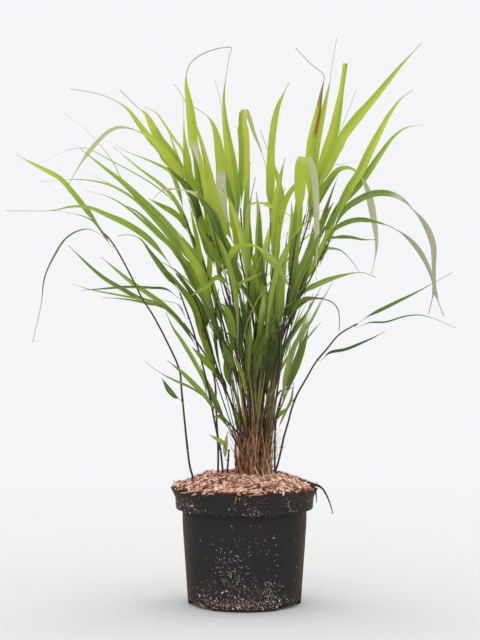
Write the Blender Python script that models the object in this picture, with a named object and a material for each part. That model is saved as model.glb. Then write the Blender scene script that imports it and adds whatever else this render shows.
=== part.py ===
"""Potted Japanese forest grass: a clump of arching shoots in a round nursery pot.

Every length in the tables is in millimetres and is turned into metres where a mesh
is made. The pot stands on z = 0 with its axis on the z axis, and the front is -Y.
A shoot is one culm (the round stem) with the leaf blades that grow from it, and it
is one closed mesh: a four-sided tube whose side faces grow out into flat blades.
"""

import math

import bpy
from mathutils import Matrix, Vector
from mathutils.bvhtree import BVHTree

MM = 0.001
GAP = 0.3

# Pot: a 3 litre round nursery pot
POT_HEIGHT = 150.0
RIM_RADIUS = 95.0
LIP_HEIGHT = 13.0
BAND_RADIUS = 88.0
BAND_BOTTOM = 123.0
BODY_TOP_RADIUS = 80.0
BASE_RADIUS = 72.5
WALL = 1.6
FLOOR = 2.0
POT_SIDES = 38
FOOT_COUNT = 3
FOOT_ARC = 72.0
RECESS_HEIGHT = 5.0
RECESS_INNER_RADIUS = 58.0
DRAIN_RADIUS = 3.5
DRAIN_CIRCLE_RADIUS = 65.0
DRAINS_PER_RECESS = 2

# Soil and the bark mulch over it
SOIL_TOP = 139.5
MULCH_RADIUS = 93.0
MULCH_PLUG_RADIUS = 85.5
MULCH_TOP = 171.0
MULCH_FLAT_RADIUS = 45.0
MULCH_EDGE = 151.6
MULCH_FALL_POWER = 1.6
MULCH_SIDES = 24
SOIL_SIDES = 18

# Crown: the bundle of old sheath bases that the shoots rise from
CROWN_X = 13.0
CROWN_BASE_RADIUS = 23.0
CROWN_TOP_RADIUS = 25.5
CROWN_TOP = 217.0
CROWN_FLUTES = 12
CROWN_FLUTE_DEPTH = 1.8
CROWN_SIDES_PER_FLUTE = 3

# Shoots
CULM_RADIUS = 1.35
CULM_TIP_RADIUS = 1.0
SOCKET = 3.6
LONGEST_STRETCH = 112.0
SQUARE_HALF = 0.886
BLADE_HALF_THICKNESS = 0.42
BLADE_TIP_WIDTH = 1.3
BLADE_FIRST_RING = 5.0
LONG_BLADES = (50.0, 90.0, 175.0)
FOLD_DROP_DEPTH = 18.0
KNEE_OUT = 2.6
KNEE_UP = 3.0
KNEE_CLEAR = 10.0
CLEARANCE = 0.45

# The eye that the traced shoots were seen from
EYE_DISTANCE = 2600.0
EYE_HEIGHT = 450.0


def remove_everything():
    for thing in list(bpy.data.objects):
        bpy.data.objects.remove(thing, do_unlink=True)


def finish_material(name, colour, roughness):
    material = bpy.data.materials.new(name)
    material.use_nodes = True
    shader = material.node_tree.nodes["Principled BSDF"]
    shader.inputs["Base Color"].default_value = (*colour, 1.0)
    shader.inputs["Roughness"].default_value = roughness
    shader.inputs["Metallic"].default_value = 0.0
    return material


def add_mesh_object(name, corners, faces, material, smooth=False):
    """One object from corners in millimetres and faces that point outwards."""
    mesh = bpy.data.meshes.new(name)
    mesh.from_pydata([Vector(corner) * MM for corner in corners], [], faces)
    mesh.validate()
    mesh.materials.append(material)
    if smooth:
        mesh.shade_smooth()
    item = bpy.data.objects.new(name, mesh)
    bpy.context.scene.collection.objects.link(item)
    return item


def turned_solid(name, profile, sides, material, radius_at=None):
    """A solid turned about the z axis from a closed outline of (radius, height)."""
    corners = []
    faces = []
    rows = []
    for radius, height in profile:
        if radius == 0.0:
            rows.append([len(corners)] * sides)
            corners.append((0.0, 0.0, height))
            continue
        row = []
        for k in range(sides):
            angle = 2.0 * math.pi * k / sides
            reach = radius_at(radius, height, angle) if radius_at else radius
            row.append(len(corners))
            corners.append((reach * math.cos(angle), reach * math.sin(angle), height))
        rows.append(row)
    for lower, upper in zip(rows, rows[1:]):
        for k in range(sides):
            after = (k + 1) % sides
            loop = [lower[k], lower[after], upper[after], upper[k]]
            clean = [c for i, c in enumerate(loop) if c != loop[i - 1]]
            faces.append(clean)
    return add_mesh_object(name, corners, faces, material, smooth=True)


def sector_block(name, inner, outer, bottom, top, middle, arc):
    """A wedge of a ring, used to raise or to cut the pot's floor."""
    steps = 6
    corners = []
    for height in (bottom, top):
        for radius in (inner, outer):
            for k in range(steps + 1):
                angle = math.radians(middle - arc / 2 + arc * k / steps)
                corners.append((radius * math.cos(angle), radius * math.sin(angle), height))
    n = steps + 1
    faces = []
    for k in range(steps):
        faces.append((k, k + 1, n + k + 1, n + k))
        faces.append((2 * n + k, 3 * n + k, 3 * n + k + 1, 2 * n + k + 1))
        faces.append((k, 2 * n + k, 2 * n + k + 1, k + 1))
        faces.append((n + k, n + k + 1, 3 * n + k + 1, 3 * n + k))
    faces.append((0, n, 3 * n, 2 * n))
    faces.append((n - 1, 3 * n - 1, 4 * n - 1, 2 * n - 1))
    mesh = bpy.data.meshes.new(name)
    mesh.from_pydata([Vector(corner) * MM for corner in corners], [], faces)
    block = bpy.data.objects.new(name, mesh)
    bpy.context.scene.collection.objects.link(block)
    return block


def drain_cutter(name, radius_out, angle):
    bpy.ops.mesh.primitive_cylinder_add(
        vertices=8,
        radius=DRAIN_RADIUS * MM,
        depth=4 * RECESS_HEIGHT * MM,
        location=(radius_out * math.cos(angle) * MM, radius_out * math.sin(angle) * MM, 0.0),
    )
    cutter = bpy.context.object
    cutter.name = name
    return cutter


def boolean(target, tool, operation):
    """Joins or cuts target with tool, and hides tool as a guide."""
    step = target.modifiers.new(tool.name, "BOOLEAN")
    step.operation = operation
    step.solver = "EXACT"
    step.object = tool
    tool.hide_render = True
    tool.display_type = "WIRE"


def build_pot(material):
    """The pot: flared lip, upright band, tapered body, and a floor on three feet."""
    lip_bottom = POT_HEIGHT - LIP_HEIGHT
    shelf = BAND_BOTTOM + WALL
    outline = (
        (0.0, 0.0),
        (BASE_RADIUS - 1.0, 0.0),
        (BASE_RADIUS, 1.0),
        (BODY_TOP_RADIUS, BAND_BOTTOM),
        (BAND_RADIUS, BAND_BOTTOM),
        (BAND_RADIUS + 0.8, lip_bottom),
        (RIM_RADIUS, POT_HEIGHT - 0.5),
        (RIM_RADIUS - 0.5, POT_HEIGHT),
        (RIM_RADIUS - WALL, POT_HEIGHT),
        (BAND_RADIUS - WALL, lip_bottom),
        (BAND_RADIUS - WALL, shelf),
        (BODY_TOP_RADIUS - WALL, shelf),
        (BASE_RADIUS - WALL, FLOOR),
        (0.0, FLOOR),
    )
    pot = turned_solid("nursery_pot", outline, POT_SIDES, material)
    recess_arc = 360.0 / FOOT_COUNT - FOOT_ARC
    for k in range(FOOT_COUNT):
        middle = -90.0 + 60.0 + k * 360.0 / FOOT_COUNT
        raised = sector_block(
            f"raised_floor_{k}", RECESS_INNER_RADIUS - FLOOR, BASE_RADIUS - WALL / 2,
            FLOOR / 2, RECESS_HEIGHT + FLOOR, middle, recess_arc + 3.0,
        )
        boolean(pot, raised, "UNION")
        cut = sector_block(
            f"recess_cut_{k}", RECESS_INNER_RADIUS, RIM_RADIUS, -5.0, RECESS_HEIGHT,
            middle, recess_arc,
        )
        boolean(pot, cut, "DIFFERENCE")
        for j in range(DRAINS_PER_RECESS):
            turn = math.radians(middle + (j - 0.5) * recess_arc * 0.5)
            drain = drain_cutter(f"drain_{k}_{j}", DRAIN_CIRCLE_RADIUS, turn)
            boolean(pot, drain, "DIFFERENCE")
    return pot


def build_soil(material):
    """Potting soil that fills the pot up to the mulch, clear of its walls and floor."""
    shelf = BAND_BOTTOM + WALL + GAP
    slope = (BODY_TOP_RADIUS - BASE_RADIUS) / BAND_BOTTOM
    raised = RECESS_HEIGHT + FLOOR + GAP
    inner = RECESS_INNER_RADIUS - FLOOR - GAP - 1.0
    low_radius = BASE_RADIUS + slope * raised - WALL - 2 * GAP
    outline = (
        (0.0, FLOOR + GAP),
        (inner, FLOOR + GAP),
        (inner, raised),
        (low_radius, raised),
        (BODY_TOP_RADIUS - WALL - 2 * GAP, shelf),
        (BAND_RADIUS - WALL - 2 * GAP, shelf),
        (BAND_RADIUS - WALL - 2 * GAP, SOIL_TOP),
        (0.0, SOIL_TOP),
    )
    return turned_solid("potting_soil", outline, SOIL_SIDES, material)


def mulch_height(radius):
    """Height of the mulch mound at a distance from the pot's axis."""
    if radius <= MULCH_FLAT_RADIUS:
        return MULCH_TOP
    share = (radius - MULCH_FLAT_RADIUS) / (MULCH_RADIUS - MULCH_FLAT_RADIUS)
    return MULCH_TOP - (MULCH_TOP - MULCH_EDGE) * share ** MULCH_FALL_POWER


def build_mulch(material):
    """The mound of bark chips, flat under the crown and thin over the rim."""
    outline = [
        (0.0, SOIL_TOP + GAP),
        (MULCH_PLUG_RADIUS, SOIL_TOP + GAP),
        (MULCH_PLUG_RADIUS, POT_HEIGHT + GAP),
        (MULCH_RADIUS, POT_HEIGHT + GAP),
    ]
    for radius in (MULCH_RADIUS, 82.0, 70.0, 58.0, MULCH_FLAT_RADIUS):
        outline.append((radius, mulch_height(radius)))
    outline.append((0.0, MULCH_TOP))
    return turned_solid("bark_mulch", outline, MULCH_SIDES, material)


def build_crown(material):
    """A fluted stump of packed sheath bases, standing on the mulch."""
    def fluted(radius, height, angle):
        return radius - CROWN_FLUTE_DEPTH * (0.5 + 0.5 * math.cos(CROWN_FLUTES * angle))

    outline = (
        (0.0, MULCH_TOP + GAP),
        (CROWN_BASE_RADIUS, MULCH_TOP + GAP),
        (CROWN_TOP_RADIUS, CROWN_TOP - 2.0),
        (CROWN_TOP_RADIUS - 1.0, CROWN_TOP),
        (0.0, CROWN_TOP),
    )
    sides = CROWN_SIDES_PER_FLUTE * CROWN_FLUTES
    crown = turned_solid("crown_of_sheaths", outline, sides, material, fluted)
    crown.data.transform(Matrix.Translation((CROWN_X * MM, 0.0, 0.0)))
    return crown


def leaf(width, face, turn, *path, lean=0.0, fold=None, thread=False):
    """One blade: its width, how it is turned, and the points it passes.

    face is the angle near the stem and turn the angle near the tip: 0 shows the upper
    side to the front, 90 the edge, 180 the underside. path holds x, z pairs from the
    stem to the tip. lean is how far the tip lies in depth from the stem. fold is the
    number of the point at which the blade folds over and hangs down behind itself.
    thread draws the tip out long and fine.
    """
    return {
        "width": width, "face": face, "turn": turn,
        "path": [(path[i], path[i + 1]) for i in range(0, len(path), 2)],
        "lean": lean, "fold": fold, "thread": thread,
    }


def shoot(name, foot_y, top_y, culm, *leaves, on_mulch=False):
    """One shoot: a culm of x, z pairs from foot to top, and its blades.

    foot_y and top_y are the depths of the culm's foot and top. A blade that starts at
    the culm's last point continues it.
    """
    return {
        "name": name, "foot_y": foot_y, "top_y": top_y,
        "culm": [(culm[i], culm[i + 1]) for i in range(0, len(culm), 2)],
        "leaves": leaves, "on_mulch": on_mulch,
    }


SHOOTS = (
    shoot(
        "shoot_far_left", -10, -45,
        (-67, 163, -71, 180, -75, 215, -78, 245, -81, 275, -84, 302, -100, 338,
         -118, 372, -131, 392, -150, 430, -168, 462, -180, 476),
        leaf(8, 35, 50, -180, 476, -192, 492, -203, 506, -222, 530, -238, 547,
             -262, 560, -293, 577, lean=-20, thread=True),
        leaf(7, 75, 75, -174, 469, -195, 480, -210, 480, -228, 470, -242, 450,
             -256, 420, -261, 385, -272, 336, lean=-45, thread=True),
        leaf(5, 60, 60, -165, 457, -190, 487, -205, 497, -228, 503, -246, 505,
             lean=30, thread=True),
        leaf(7, 20, 20, -80, 262, -90, 267, -98, 276, -106, 290, lean=-8),
        on_mulch=True,
    ),
    shoot(
        "shoot_left_fan", 6, 30,
        (-34, 171, -34, 200, -36, 240, -38, 285, -46, 312, -62, 338, -78, 361),
        leaf(8, 45, 45, -78, 361, -95, 376, -115, 386, -135, 392, -155, 403,
             -180, 418, -200, 435, -226, 461, lean=20),
        leaf(8, 40, 40, -70, 350, -92, 372, -108, 387, -125, 399, -140, 409,
             -160, 425, -184, 446, lean=55),
        leaf(8, 120, 120, -63, 340, -95, 374, -112, 385, -135, 391, -165, 397,
             -195, 403, -221, 411, lean=-25),
        leaf(6, 50, 70, -55, 328, -85, 366, -105, 382, -125, 386, -150, 391,
             -182, 394, lean=-50),
        on_mulch=True,
    ),
    shoot(
        "shoot_left_dark", -10, -50,
        (-28, 172, -31, 198, -38, 232, -43, 258, -50, 292, -58, 322, -66, 352,
         -75, 378, -83, 400),
        leaf(8, 30, 60, -83, 400, -92, 413, -105, 430, -120, 450, -133, 468,
             -147, 474, -162, 473, lean=-30, thread=True),
        leaf(5, 75, 75, -80, 392, -100, 404, -120, 406, -150, 407, -180, 405,
             -210, 403, lean=-60),
        leaf(4, 70, 70, -71, 366, -85, 384, -100, 389, -118, 393, -135, 398, lean=40),
        leaf(6, 35, 35, -43, 258, -52, 285, -65, 312, -80, 337, -92, 355,
             -101, 375, lean=-40),
        on_mulch=True,
    ),
    shoot(
        "shoot_left_thin", -15, -35,
        (-5, 218, -18, 230, -30, 243, -43, 257),
        leaf(6, 65, 65, -43, 257, -55, 268, -70, 278, -90, 287, -110, 298,
             -128, 312, lean=-25, thread=True),
        leaf(7, 30, 30, -32, 245, -50, 266, -64, 281, -80, 297, -99, 313, lean=-50),
        leaf(6, 40, 40, -19, 231, -31, 240, -42, 240, lean=-12),
    ),
    shoot(
        "shoot_left_wide", -8, -75,
        (-2, 218, -12, 245, -24, 275, -34, 300, -42, 325, -50, 350, -56, 372,
         -62, 388, -75, 407, -88, 425),
        leaf(11, 35, 60, -88, 425, -105, 448, -125, 470, -150, 487, -178, 500,
             -200, 509, -222, 510, -250, 505, -306, 505, lean=-20, thread=True),
        leaf(11, 20, 50, -38, 312, -50, 335, -57, 358, -63, 378, -72, 393,
             -84, 408, -97, 425, -109, 433, lean=-35),
        leaf(9, 40, 40, -30, 290, -42, 303, -52, 313, -60, 322, -68, 331, lean=-30),
    ),
    shoot(
        "shoot_left_broad", -4, -95,
        (2, 218, -8, 260, -20, 300, -30, 340, -38, 372, -45, 400),
        leaf(14, 15, 45, -45, 400, -52, 425, -68, 447, -85, 468, -105, 492,
             -130, 516, -155, 540, -180, 560, -211, 585, lean=-25),
        leaf(5, 55, 70, -40, 380, -75, 455, -105, 488, -135, 518, -158, 546,
             -168, 566, -185, 589, -207, 612, -232, 630, lean=70, thread=True),
        leaf(12, 20, 40, -34, 356, -44, 376, -52, 398, -62, 420, -72, 436,
             -84, 452, lean=-40),
    ),
    shoot(
        "shoot_left_upper", 4, 20,
        (5, 218, -2, 260, -14, 310, -26, 355, -38, 395, -47, 420, -55, 446,
         -63, 462, -72, 484, -78, 500),
        leaf(7, 40, 60, -78, 500, -82, 520, -88, 540, -95, 554, -110, 563,
             -130, 572, -150, 580, -165, 590, lean=30),
        leaf(5, 70, 80, -75, 493, -84, 508, -100, 525, -120, 540, -145, 555,
             -170, 568, -198, 583, -213, 585, -235, 579, -263, 565, lean=-20, thread=True),
        leaf(8, 30, 30, -69, 476, -80, 492, -92, 503, -106, 511, -122, 520, lean=-30),
        leaf(7, 40, 50, -62, 460, -76, 492, -92, 522, -110, 540, -134, 558,
             -153, 574, -168, 587, lean=60),
        leaf(12, 25, 25, -40, 400, -50, 415, -56, 435, -62, 458, -70, 480, lean=70),
    ),
    shoot(
        "shoot_left_inner", 12, 55,
        (0, 218, -8, 255, -20, 300, -32, 345, -44, 380, -58, 410, -70, 425, -78, 438),
        leaf(6, 30, 40, -78, 438, -92, 457, -108, 475, -125, 492, -140, 505,
             -160, 515, lean=20),
        leaf(6, 45, 60, -68, 422, -92, 455, -110, 472, -130, 491, -150, 508,
             -175, 523, -205, 531, lean=60),
        leaf(7, 50, 70, -60, 412, -85, 452, -100, 474, -120, 498, -140, 518,
             -165, 534, -190, 542, -220, 545, -262, 542, lean=-20, thread=True),
        leaf(6, 40, 60, -50, 395, -90, 462, -115, 493, -140, 519, -170, 538,
             -203, 554, lean=110),
    ),
    shoot(
        "shoot_top_left", 0, -30,
        (8, 218, 4, 270, -6, 330, -20, 390, -36, 440, -52, 485, -66, 520, -74, 540),
        leaf(12, 20, 35, -74, 540, -84, 562, -98, 582, -110, 597, -119, 614,
             -127, 629, -138, 638, -160, 660, lean=30, thread=True),
        leaf(14, 15, 50, -68, 525, -85, 555, -100, 573, -112, 588, -125, 602,
             -137, 618, -150, 635, -168, 647, -190, 655, -223, 661, lean=-30),
        leaf(9, 40, 140, -60, 505, -85, 550, -100, 570, -115, 590, -132, 604,
             -155, 611, -172, 607, -188, 593, -203, 575, -218, 552, -226, 537, lean=-80),
        leaf(10, 30, 30, -50, 480, -62, 512, -72, 533, -85, 547, -99, 561, lean=-60),
        leaf(12, 20, 20, -34, 435, -46, 455, -54, 480, -62, 502, -73, 521, lean=40),
    ),
    shoot(
        "shoot_top_left_back", 10, 70,
        (10, 218, 8, 280, 0, 340, -12, 400, -28, 450, -45, 495, -58, 525, -68, 548),
        leaf(8, 50, 50, -68, 548, -75, 565, -80, 582, -92, 599, -103, 616,
             -114, 631, -128, 637, lean=20),
        leaf(5, 50, 50, -63, 537, -83, 567, -90, 585, -96, 603, -101, 613, lean=60),
        leaf(13, 20, 60, -55, 518, -66, 535, -72, 550, -74, 566, -76, 583,
             -78, 605, -78, 625, -79, 650, lean=-30, thread=True),
        leaf(12, 30, 30, -35, 468, -50, 480, -60, 498, -66, 515, -70, 530, lean=60),
    ),
    shoot(
        "shoot_tall_left", -8, -45,
        (12, 218, 11, 290, 4, 350, -6, 400, -18, 445, -30, 480, -40, 505),
        leaf(13, 25, 30, -40, 505, -48, 527, -56, 550, -62, 572, -66, 590, -68, 615,
             -71, 640, -75, 668, -73, 685, -66, 697, -52, 706, -35, 712, -17, 714,
             lean=30, thread=True),
        leaf(10, 35, 50, -28, 475, -37, 515, -44, 545, -50, 570, -55, 590, -62, 612,
             -72, 636, -80, 652, -90, 667, lean=60, thread=True),
        leaf(6, 30, 150, -24, 464, -36, 495, -46, 510, -60, 523, -75, 530, -92, 532,
             -106, 530, -118, 518, -126, 504, lean=-50),
        leaf(14, 15, 25, -14, 432, -28, 455, -34, 476, -41, 497, -52, 515, -62, 528,
             lean=-60),
    ),
    shoot(
        "shoot_tall_middle", 10, 30,
        (14, 218, 18, 280, 14, 340, 6, 390, -2, 430, -8, 460, -10, 478),
        leaf(15, 30, 50, -10, 478, -10, 505, -13, 535, -17, 565, -22, 595, -26, 625,
             -27, 650, -24, 675, -20, 700, -16, 714, lean=30, thread=True),
        leaf(14, 15, 30, -7, 455, -18, 470, -26, 485, -30, 505, -31, 530, -31, 555,
             -34, 585, -39, 610, -46, 624, -56, 632, -66, 638, lean=-40, thread=True),
        leaf(5, 50, 60, -2, 432, -15, 500, -22, 550, -27, 600, -30, 640,
             -38, 672, lean=100, thread=True),
        leaf(14, 20, 20, 4, 400, -12, 425, -20, 450, -28, 472, -31, 495, lean=-80),
    ),
    shoot(
        "shoot_centre", -16, -20,
        (16, 218, 18, 280, 14, 340, 8, 390, 3, 425, 0, 445, -2, 468, -4, 490, -5, 508),
        leaf(15, 20, 20, -5, 508, -2, 530, 0, 560, 0, 590, -2, 618, 0, 634, 5, 626,
             12, 604, 20, 585, 27, 562, 28, 548, lean=0, fold=5, thread=True),
        leaf(6, 40, 120, -3, 480, 5, 510, 20, 515, 35, 510, 50, 503, 62, 495,
             66, 482, lean=-40),
        leaf(8, 20, 20, 2, 432, 8, 450, 6, 470, 5, 495, 8, 520, 14, 548, lean=30,
             thread=True),
    ),
    shoot(
        "shoot_front_arch", -20, -95,
        (4, 218, -3, 260, -8, 310, -12, 360, -16, 400, -19, 425),
        leaf(10, 30, 140, -19, 425, -19, 445, -12, 458, 0, 462, 14, 461, 26, 453,
             38, 438, 50, 420, 60, 404, lean=-35),
        leaf(7, 35, 60, -17, 412, -35, 420, -47, 411, -60, 402, -72, 394, lean=-45),
        leaf(4, 30, 30, -15, 390, -6, 411, 5, 417, 23, 426, lean=-50),
        leaf(11, 25, 30, -9, 330, -16, 345, -18, 362, -24, 380, -33, 388, lean=-40),
        leaf(10, 25, 40, -6, 300, -18, 312, -25, 325, -29, 340, lean=-25),
    ),
    shoot(
        "shoot_upright_right", 14, 45,
        (20, 218, 26, 280, 30, 340, 34, 390, 36, 430, 35, 465, 33, 490),
        leaf(11, 25, 40, 33, 490, 32, 515, 32, 545, 33, 575, 35, 600, 38, 622,
             43, 640, 50, 655, 57, 669, lean=20, thread=True),
        leaf(8, 35, 60, 35, 462, 45, 490, 49, 512, 46, 535, 41, 553, 34, 572, 27, 590,
             20, 608, lean=55, thread=True),
        leaf(9, 30, 30, 36, 440, 44, 480, 49, 505, 55, 522, 64, 536, 76, 546,
             90, 552, lean=-40),
        leaf(11, 25, 25, 33, 380, 24, 410, 19, 440, 18, 470, 18, 500, 15, 530, lean=50),
    ),
    shoot(
        "shoot_folded_right", -14, -85,
        (27, 218, 34, 270, 42, 320, 50, 365, 56, 400, 60, 425, 64, 455, 67, 475),
        leaf(16, 28, 28, 67, 475, 71, 510, 72, 540, 73, 562, 78, 574, 85, 562,
             89, 542, 91, 515, 92, 480, 92, 445, 92, 416, lean=0, fold=4),
        leaf(15, 20, 20, 52, 372, 62, 400, 70, 422, 80, 442, 90, 462, 99, 480, lean=-30),
        leaf(14, 25, 40, 44, 330, 38, 350, 36, 372, 38, 395, 46, 420, 52, 445, lean=-40),
    ),
    shoot(
        "shoot_top_right", -6, 5,
        (30, 218, 36, 270, 44, 320, 52, 365, 58, 395, 63, 425, 68, 445, 73, 462,
         80, 485, 87, 510),
        leaf(14, 20, 30, 87, 510, 92, 530, 102, 553, 115, 580, 130, 605, 150, 630,
             172, 656, 198, 688, 226, 719, lean=-25, thread=True),
        leaf(11, 20, 40, 84, 499, 83, 530, 82, 560, 84, 590, 88, 610, 93, 632, 98, 658,
             102, 677, 95, 684, 82, 695, 65, 713, lean=-55, thread=True),
        leaf(13, 15, 15, 78, 480, 90, 525, 98, 552, 106, 582, 114, 605, 120, 635,
             125, 665, 129, 693, lean=25),
        leaf(12, 20, 40, 60, 408, 64, 435, 62, 462, 62, 488, 60, 515, lean=30),
    ),
    shoot(
        "shoot_top_right_back", 8, 60,
        (26, 218, 34, 280, 44, 335, 54, 385, 62, 430, 70, 470, 78, 500),
        leaf(10, 30, 60, 78, 500, 85, 530, 89, 558, 92, 585, 97, 612, 103, 638,
             108, 662, 112, 690, 118, 726, lean=-20, thread=True),
        leaf(4, 60, 60, 75, 488, 90, 540, 104, 575, 119, 602, 130, 625, 143, 660,
             lean=30, thread=True),
        leaf(12, 30, 150, 70, 468, 88, 505, 97, 522, 108, 541, 120, 556, 133, 559,
             145, 552, 155, 535, 162, 512, 168, 480, 169, 455, 163, 425, lean=-40),
        leaf(4, 70, 70, 72, 476, 84, 512, 97, 546, 110, 561, 128, 565, 148, 568, lean=60),
    ),
    shoot(
        "shoot_right_black", -12, -50,
        (35, 218, 36, 260, 39, 300, 47, 335, 57, 364, 70, 392, 84, 417, 95, 440,
         104, 457, 112, 474),
        leaf(12, 25, 40, 112, 474, 118, 497, 126, 515, 136, 535, 148, 553, 158, 575,
             170, 599, 185, 627, 200, 648, 215, 659, lean=10, thread=True),
        leaf(11, 35, 135, 107, 463, 118, 488, 130, 507, 145, 518, 163, 526, 182, 527,
             200, 520, 218, 503, 233, 483, 242, 460, 243, 430, 244, 405, 250, 385,
             256, 370, lean=-45),
        leaf(9, 35, 130, 100, 450, 112, 476, 125, 487, 145, 493, 170, 490, 195, 480,
             216, 463, 230, 444, 239, 424, 243, 405, 236, 372, lean=50),
        leaf(5, 55, 70, 96, 442, 106, 467, 118, 471, 135, 471, 152, 468, 168, 468,
             lean=-30),
        leaf(5, 60, 70, 92, 434, 103, 454, 113, 456, 124, 453, 136, 442, 146, 428,
             152, 418, lean=25),
        leaf(8, 40, 60, 70, 392, 80, 403, 93, 410, 110, 417, 130, 423, 150, 426,
             168, 420, lean=-30, thread=True),
        leaf(9, 35, 70, 62, 376, 74, 389, 87, 393, 100, 392, 112, 388, 120, 378,
             122, 362, 121, 350, lean=-40, thread=True),
    ),
    shoot(
        "shoot_right_upper", 4, 25,
        (31, 218, 37, 265, 45, 310, 56, 355, 68, 395, 80, 430, 92, 460, 104, 485),
        leaf(9, 25, 50, 104, 485, 117, 505, 132, 522, 146, 537, 158, 553, 173, 575,
             190, 598, 207, 611, 230, 615, lean=25, thread=True),
        leaf(9, 40, 40, 98, 473, 115, 500, 127, 520, 137, 538, 142, 550, lean=60),
        leaf(10, 30, 60, 90, 455, 96, 478, 102, 497, 108, 515, 114, 533, 120, 550,
             lean=-20),
        leaf(15, 20, 20, 64, 380, 72, 410, 80, 440, 86, 462, 88, 488, lean=60),
    ),
    shoot(
        "shoot_far_right", -8, -35,
        (40, 171, 44, 184, 48, 202, 51, 216, 56, 233, 61, 252, 68, 270, 80, 291,
         91, 310, 105, 327, 120, 345, 135, 355, 145, 360),
        leaf(6, 45, 60, 145, 360, 160, 370, 180, 380, 200, 390, 222, 401, 245, 414,
             267, 426, lean=25, thread=True),
        leaf(6, 72, 72, 138, 357, 160, 361, 182, 362, 205, 369, 225, 371, 245, 366,
             272, 354, lean=-30, thread=True),
        leaf(5, 50, 60, 93, 313, 110, 323, 130, 327, 150, 335, 165, 342, 180, 350,
             lean=-20),
        on_mulch=True,
    ),
    shoot(
        "shoot_low_right", -18, -55,
        (39, 171, 39, 200, 40, 230, 45, 255, 49, 272),
        leaf(8, 40, 60, 49, 272, 53, 288, 58, 305, 61, 322, 66, 336, 76, 350, 86, 363,
             94, 378, 103, 396, 113, 414, lean=-20, thread=True),
        leaf(7, 35, 35, 46, 258, 51, 285, 55, 305, 58, 325, 60, 340, lean=-45),
        leaf(4, 40, 40, 42, 242, 56, 253, 61, 266, 63, 285, lean=-12),
        leaf(4, 50, 50, 40, 226, 50, 240, 58, 256, 66, 266, lean=18),
        on_mulch=True,
    ),
    shoot(
        "shoot_low_right_back", 14, 50,
        (33, 218, 36, 240, 38, 270, 40, 295, 44, 312),
        leaf(7, 40, 50, 44, 312, 52, 328, 62, 345, 72, 360, 81, 375, 90, 392, 98, 407,
             lean=20),
        leaf(7, 45, 50, 41, 300, 48, 324, 56, 341, 65, 356, 73, 373, 79, 385, lean=50),
        leaf(5, 45, 45, 38, 275, 43, 294, 50, 307, 58, 322, 66, 330, lean=-20),
        leaf(5, 45, 45, 37, 258, 45, 272, 56, 276, 67, 279, lean=15),
        leaf(6, 30, 30, 35, 232, 42, 239, 49, 247, 57, 252, lean=-15),
    ),
    shoot(
        "shoot_right_spray", 0, 5,
        (35, 218, 40, 240, 47, 265, 54, 285, 60, 300, 66, 315, 70, 330),
        leaf(4, 50, 50, 70, 330, 78, 338, 88, 350, 98, 362, lean=10),
        leaf(7, 35, 35, 48, 268, 58, 292, 64, 308, 70, 326, 73, 345, lean=-25),
    ),
    shoot(
        "shoot_low_left", -4, -16,
        (-22, 171, -21, 185, -20, 198),
        leaf(6, 35, 35, -20, 198, -27, 206, -36, 212, -45, 217, lean=-8),
        leaf(6, 20, 20, -21, 184, -25, 196, -24, 208, -22, 221, lean=-14),
        on_mulch=True,
    ),
)

# Shoots of the clump's inside and back, each set by a rule: name, compass angle in
# degrees (270 is the front), culm height above the crown, lean of the culm's top and
# number of blades.
INNER_SHOOTS = (
    ("shoot_back_1", 76, 265, 75, 4),
    ("shoot_back_2", 96, 225, 100, 4),
    ("shoot_back_3", 112, 255, 85, 4),
    ("shoot_back_4", 86, 150, 95, 4),
    ("shoot_back_5", 126, 140, 90, 3),
    ("shoot_front_1", 264, 190, 85, 4),
    ("shoot_front_2", 278, 130, 80, 4),
    ("shoot_front_3", 256, 120, 75, 4),
    ("shoot_inner_1", 68, 195, 50, 4),
    ("shoot_inner_2", 276, 215, 45, 4),
)
INNER_FOOT_RADII = (12.0, 16.0, 20.0, 8.0, 4.0)
INNER_SIDE_ANGLE = 46.0
INNER_BLADE_LENGTH = 160.0
INNER_BLADE_WIDTH = 12.0
INNER_FIRST_CLIMB = 86.0
INNER_LAST_CLIMB = 36.0


def smooth_step(value):
    value = min(max(value, 0.0), 1.0)
    return value * value * (3.0 - 2.0 * value)


def curve_through(points, count):
    """count points, evenly spaced along a smooth curve through the given points."""
    points = [Vector(point) for point in points]
    ends = [2 * points[0] - points[1]] + points + [2 * points[-1] - points[-2]]
    dense = []
    for a, b, c, d in zip(ends, ends[1:], ends[2:], ends[3:]):
        for step in range(12):
            t = step / 12
            dense.append(
                0.5 * (2 * b + (c - a) * t + (2 * a - 5 * b + 4 * c - d) * t * t
                       + (3 * b - a - 3 * c + d) * t * t * t)
            )
    dense.append(points[-1])
    reach = [0.0]
    for a, b in zip(dense, dense[1:]):
        reach.append(reach[-1] + (b - a).length)
    result = []
    k = 0
    for i in range(count):
        wanted = reach[-1] * i / (count - 1)
        while k < len(reach) - 2 and reach[k + 1] < wanted:
            k += 1
        share = (wanted - reach[k]) / max(reach[k + 1] - reach[k], 1e-9)
        result.append(dense[k].lerp(dense[k + 1], min(max(share, 0.0), 1.0)))
    return result


def seen_at(x, z, y):
    """The place at depth y that looks, from the front, as if it were at x, z."""
    scale = 1.0 + y / EYE_DISTANCE
    return Vector((x * scale, y, EYE_HEIGHT + (z - EYE_HEIGHT) * scale))


def tangents_of(line):
    last = len(line) - 1
    return [(line[min(i + 1, last)] - line[max(i - 1, 0)]).normalized()
            for i in range(last + 1)]


def carried_frames(line, start):
    """Unit vectors square to a line that turn with it and don't spin about it."""
    tangents = tangents_of(line)
    side = (start - tangents[0] * start.dot(tangents[0])).normalized()
    sides = [side]
    for before, after in zip(tangents, tangents[1:]):
        side = before.rotation_difference(after) @ side
        side = (side - after * side.dot(after)).normalized()
        sides.append(side)
    return tangents, sides


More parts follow.
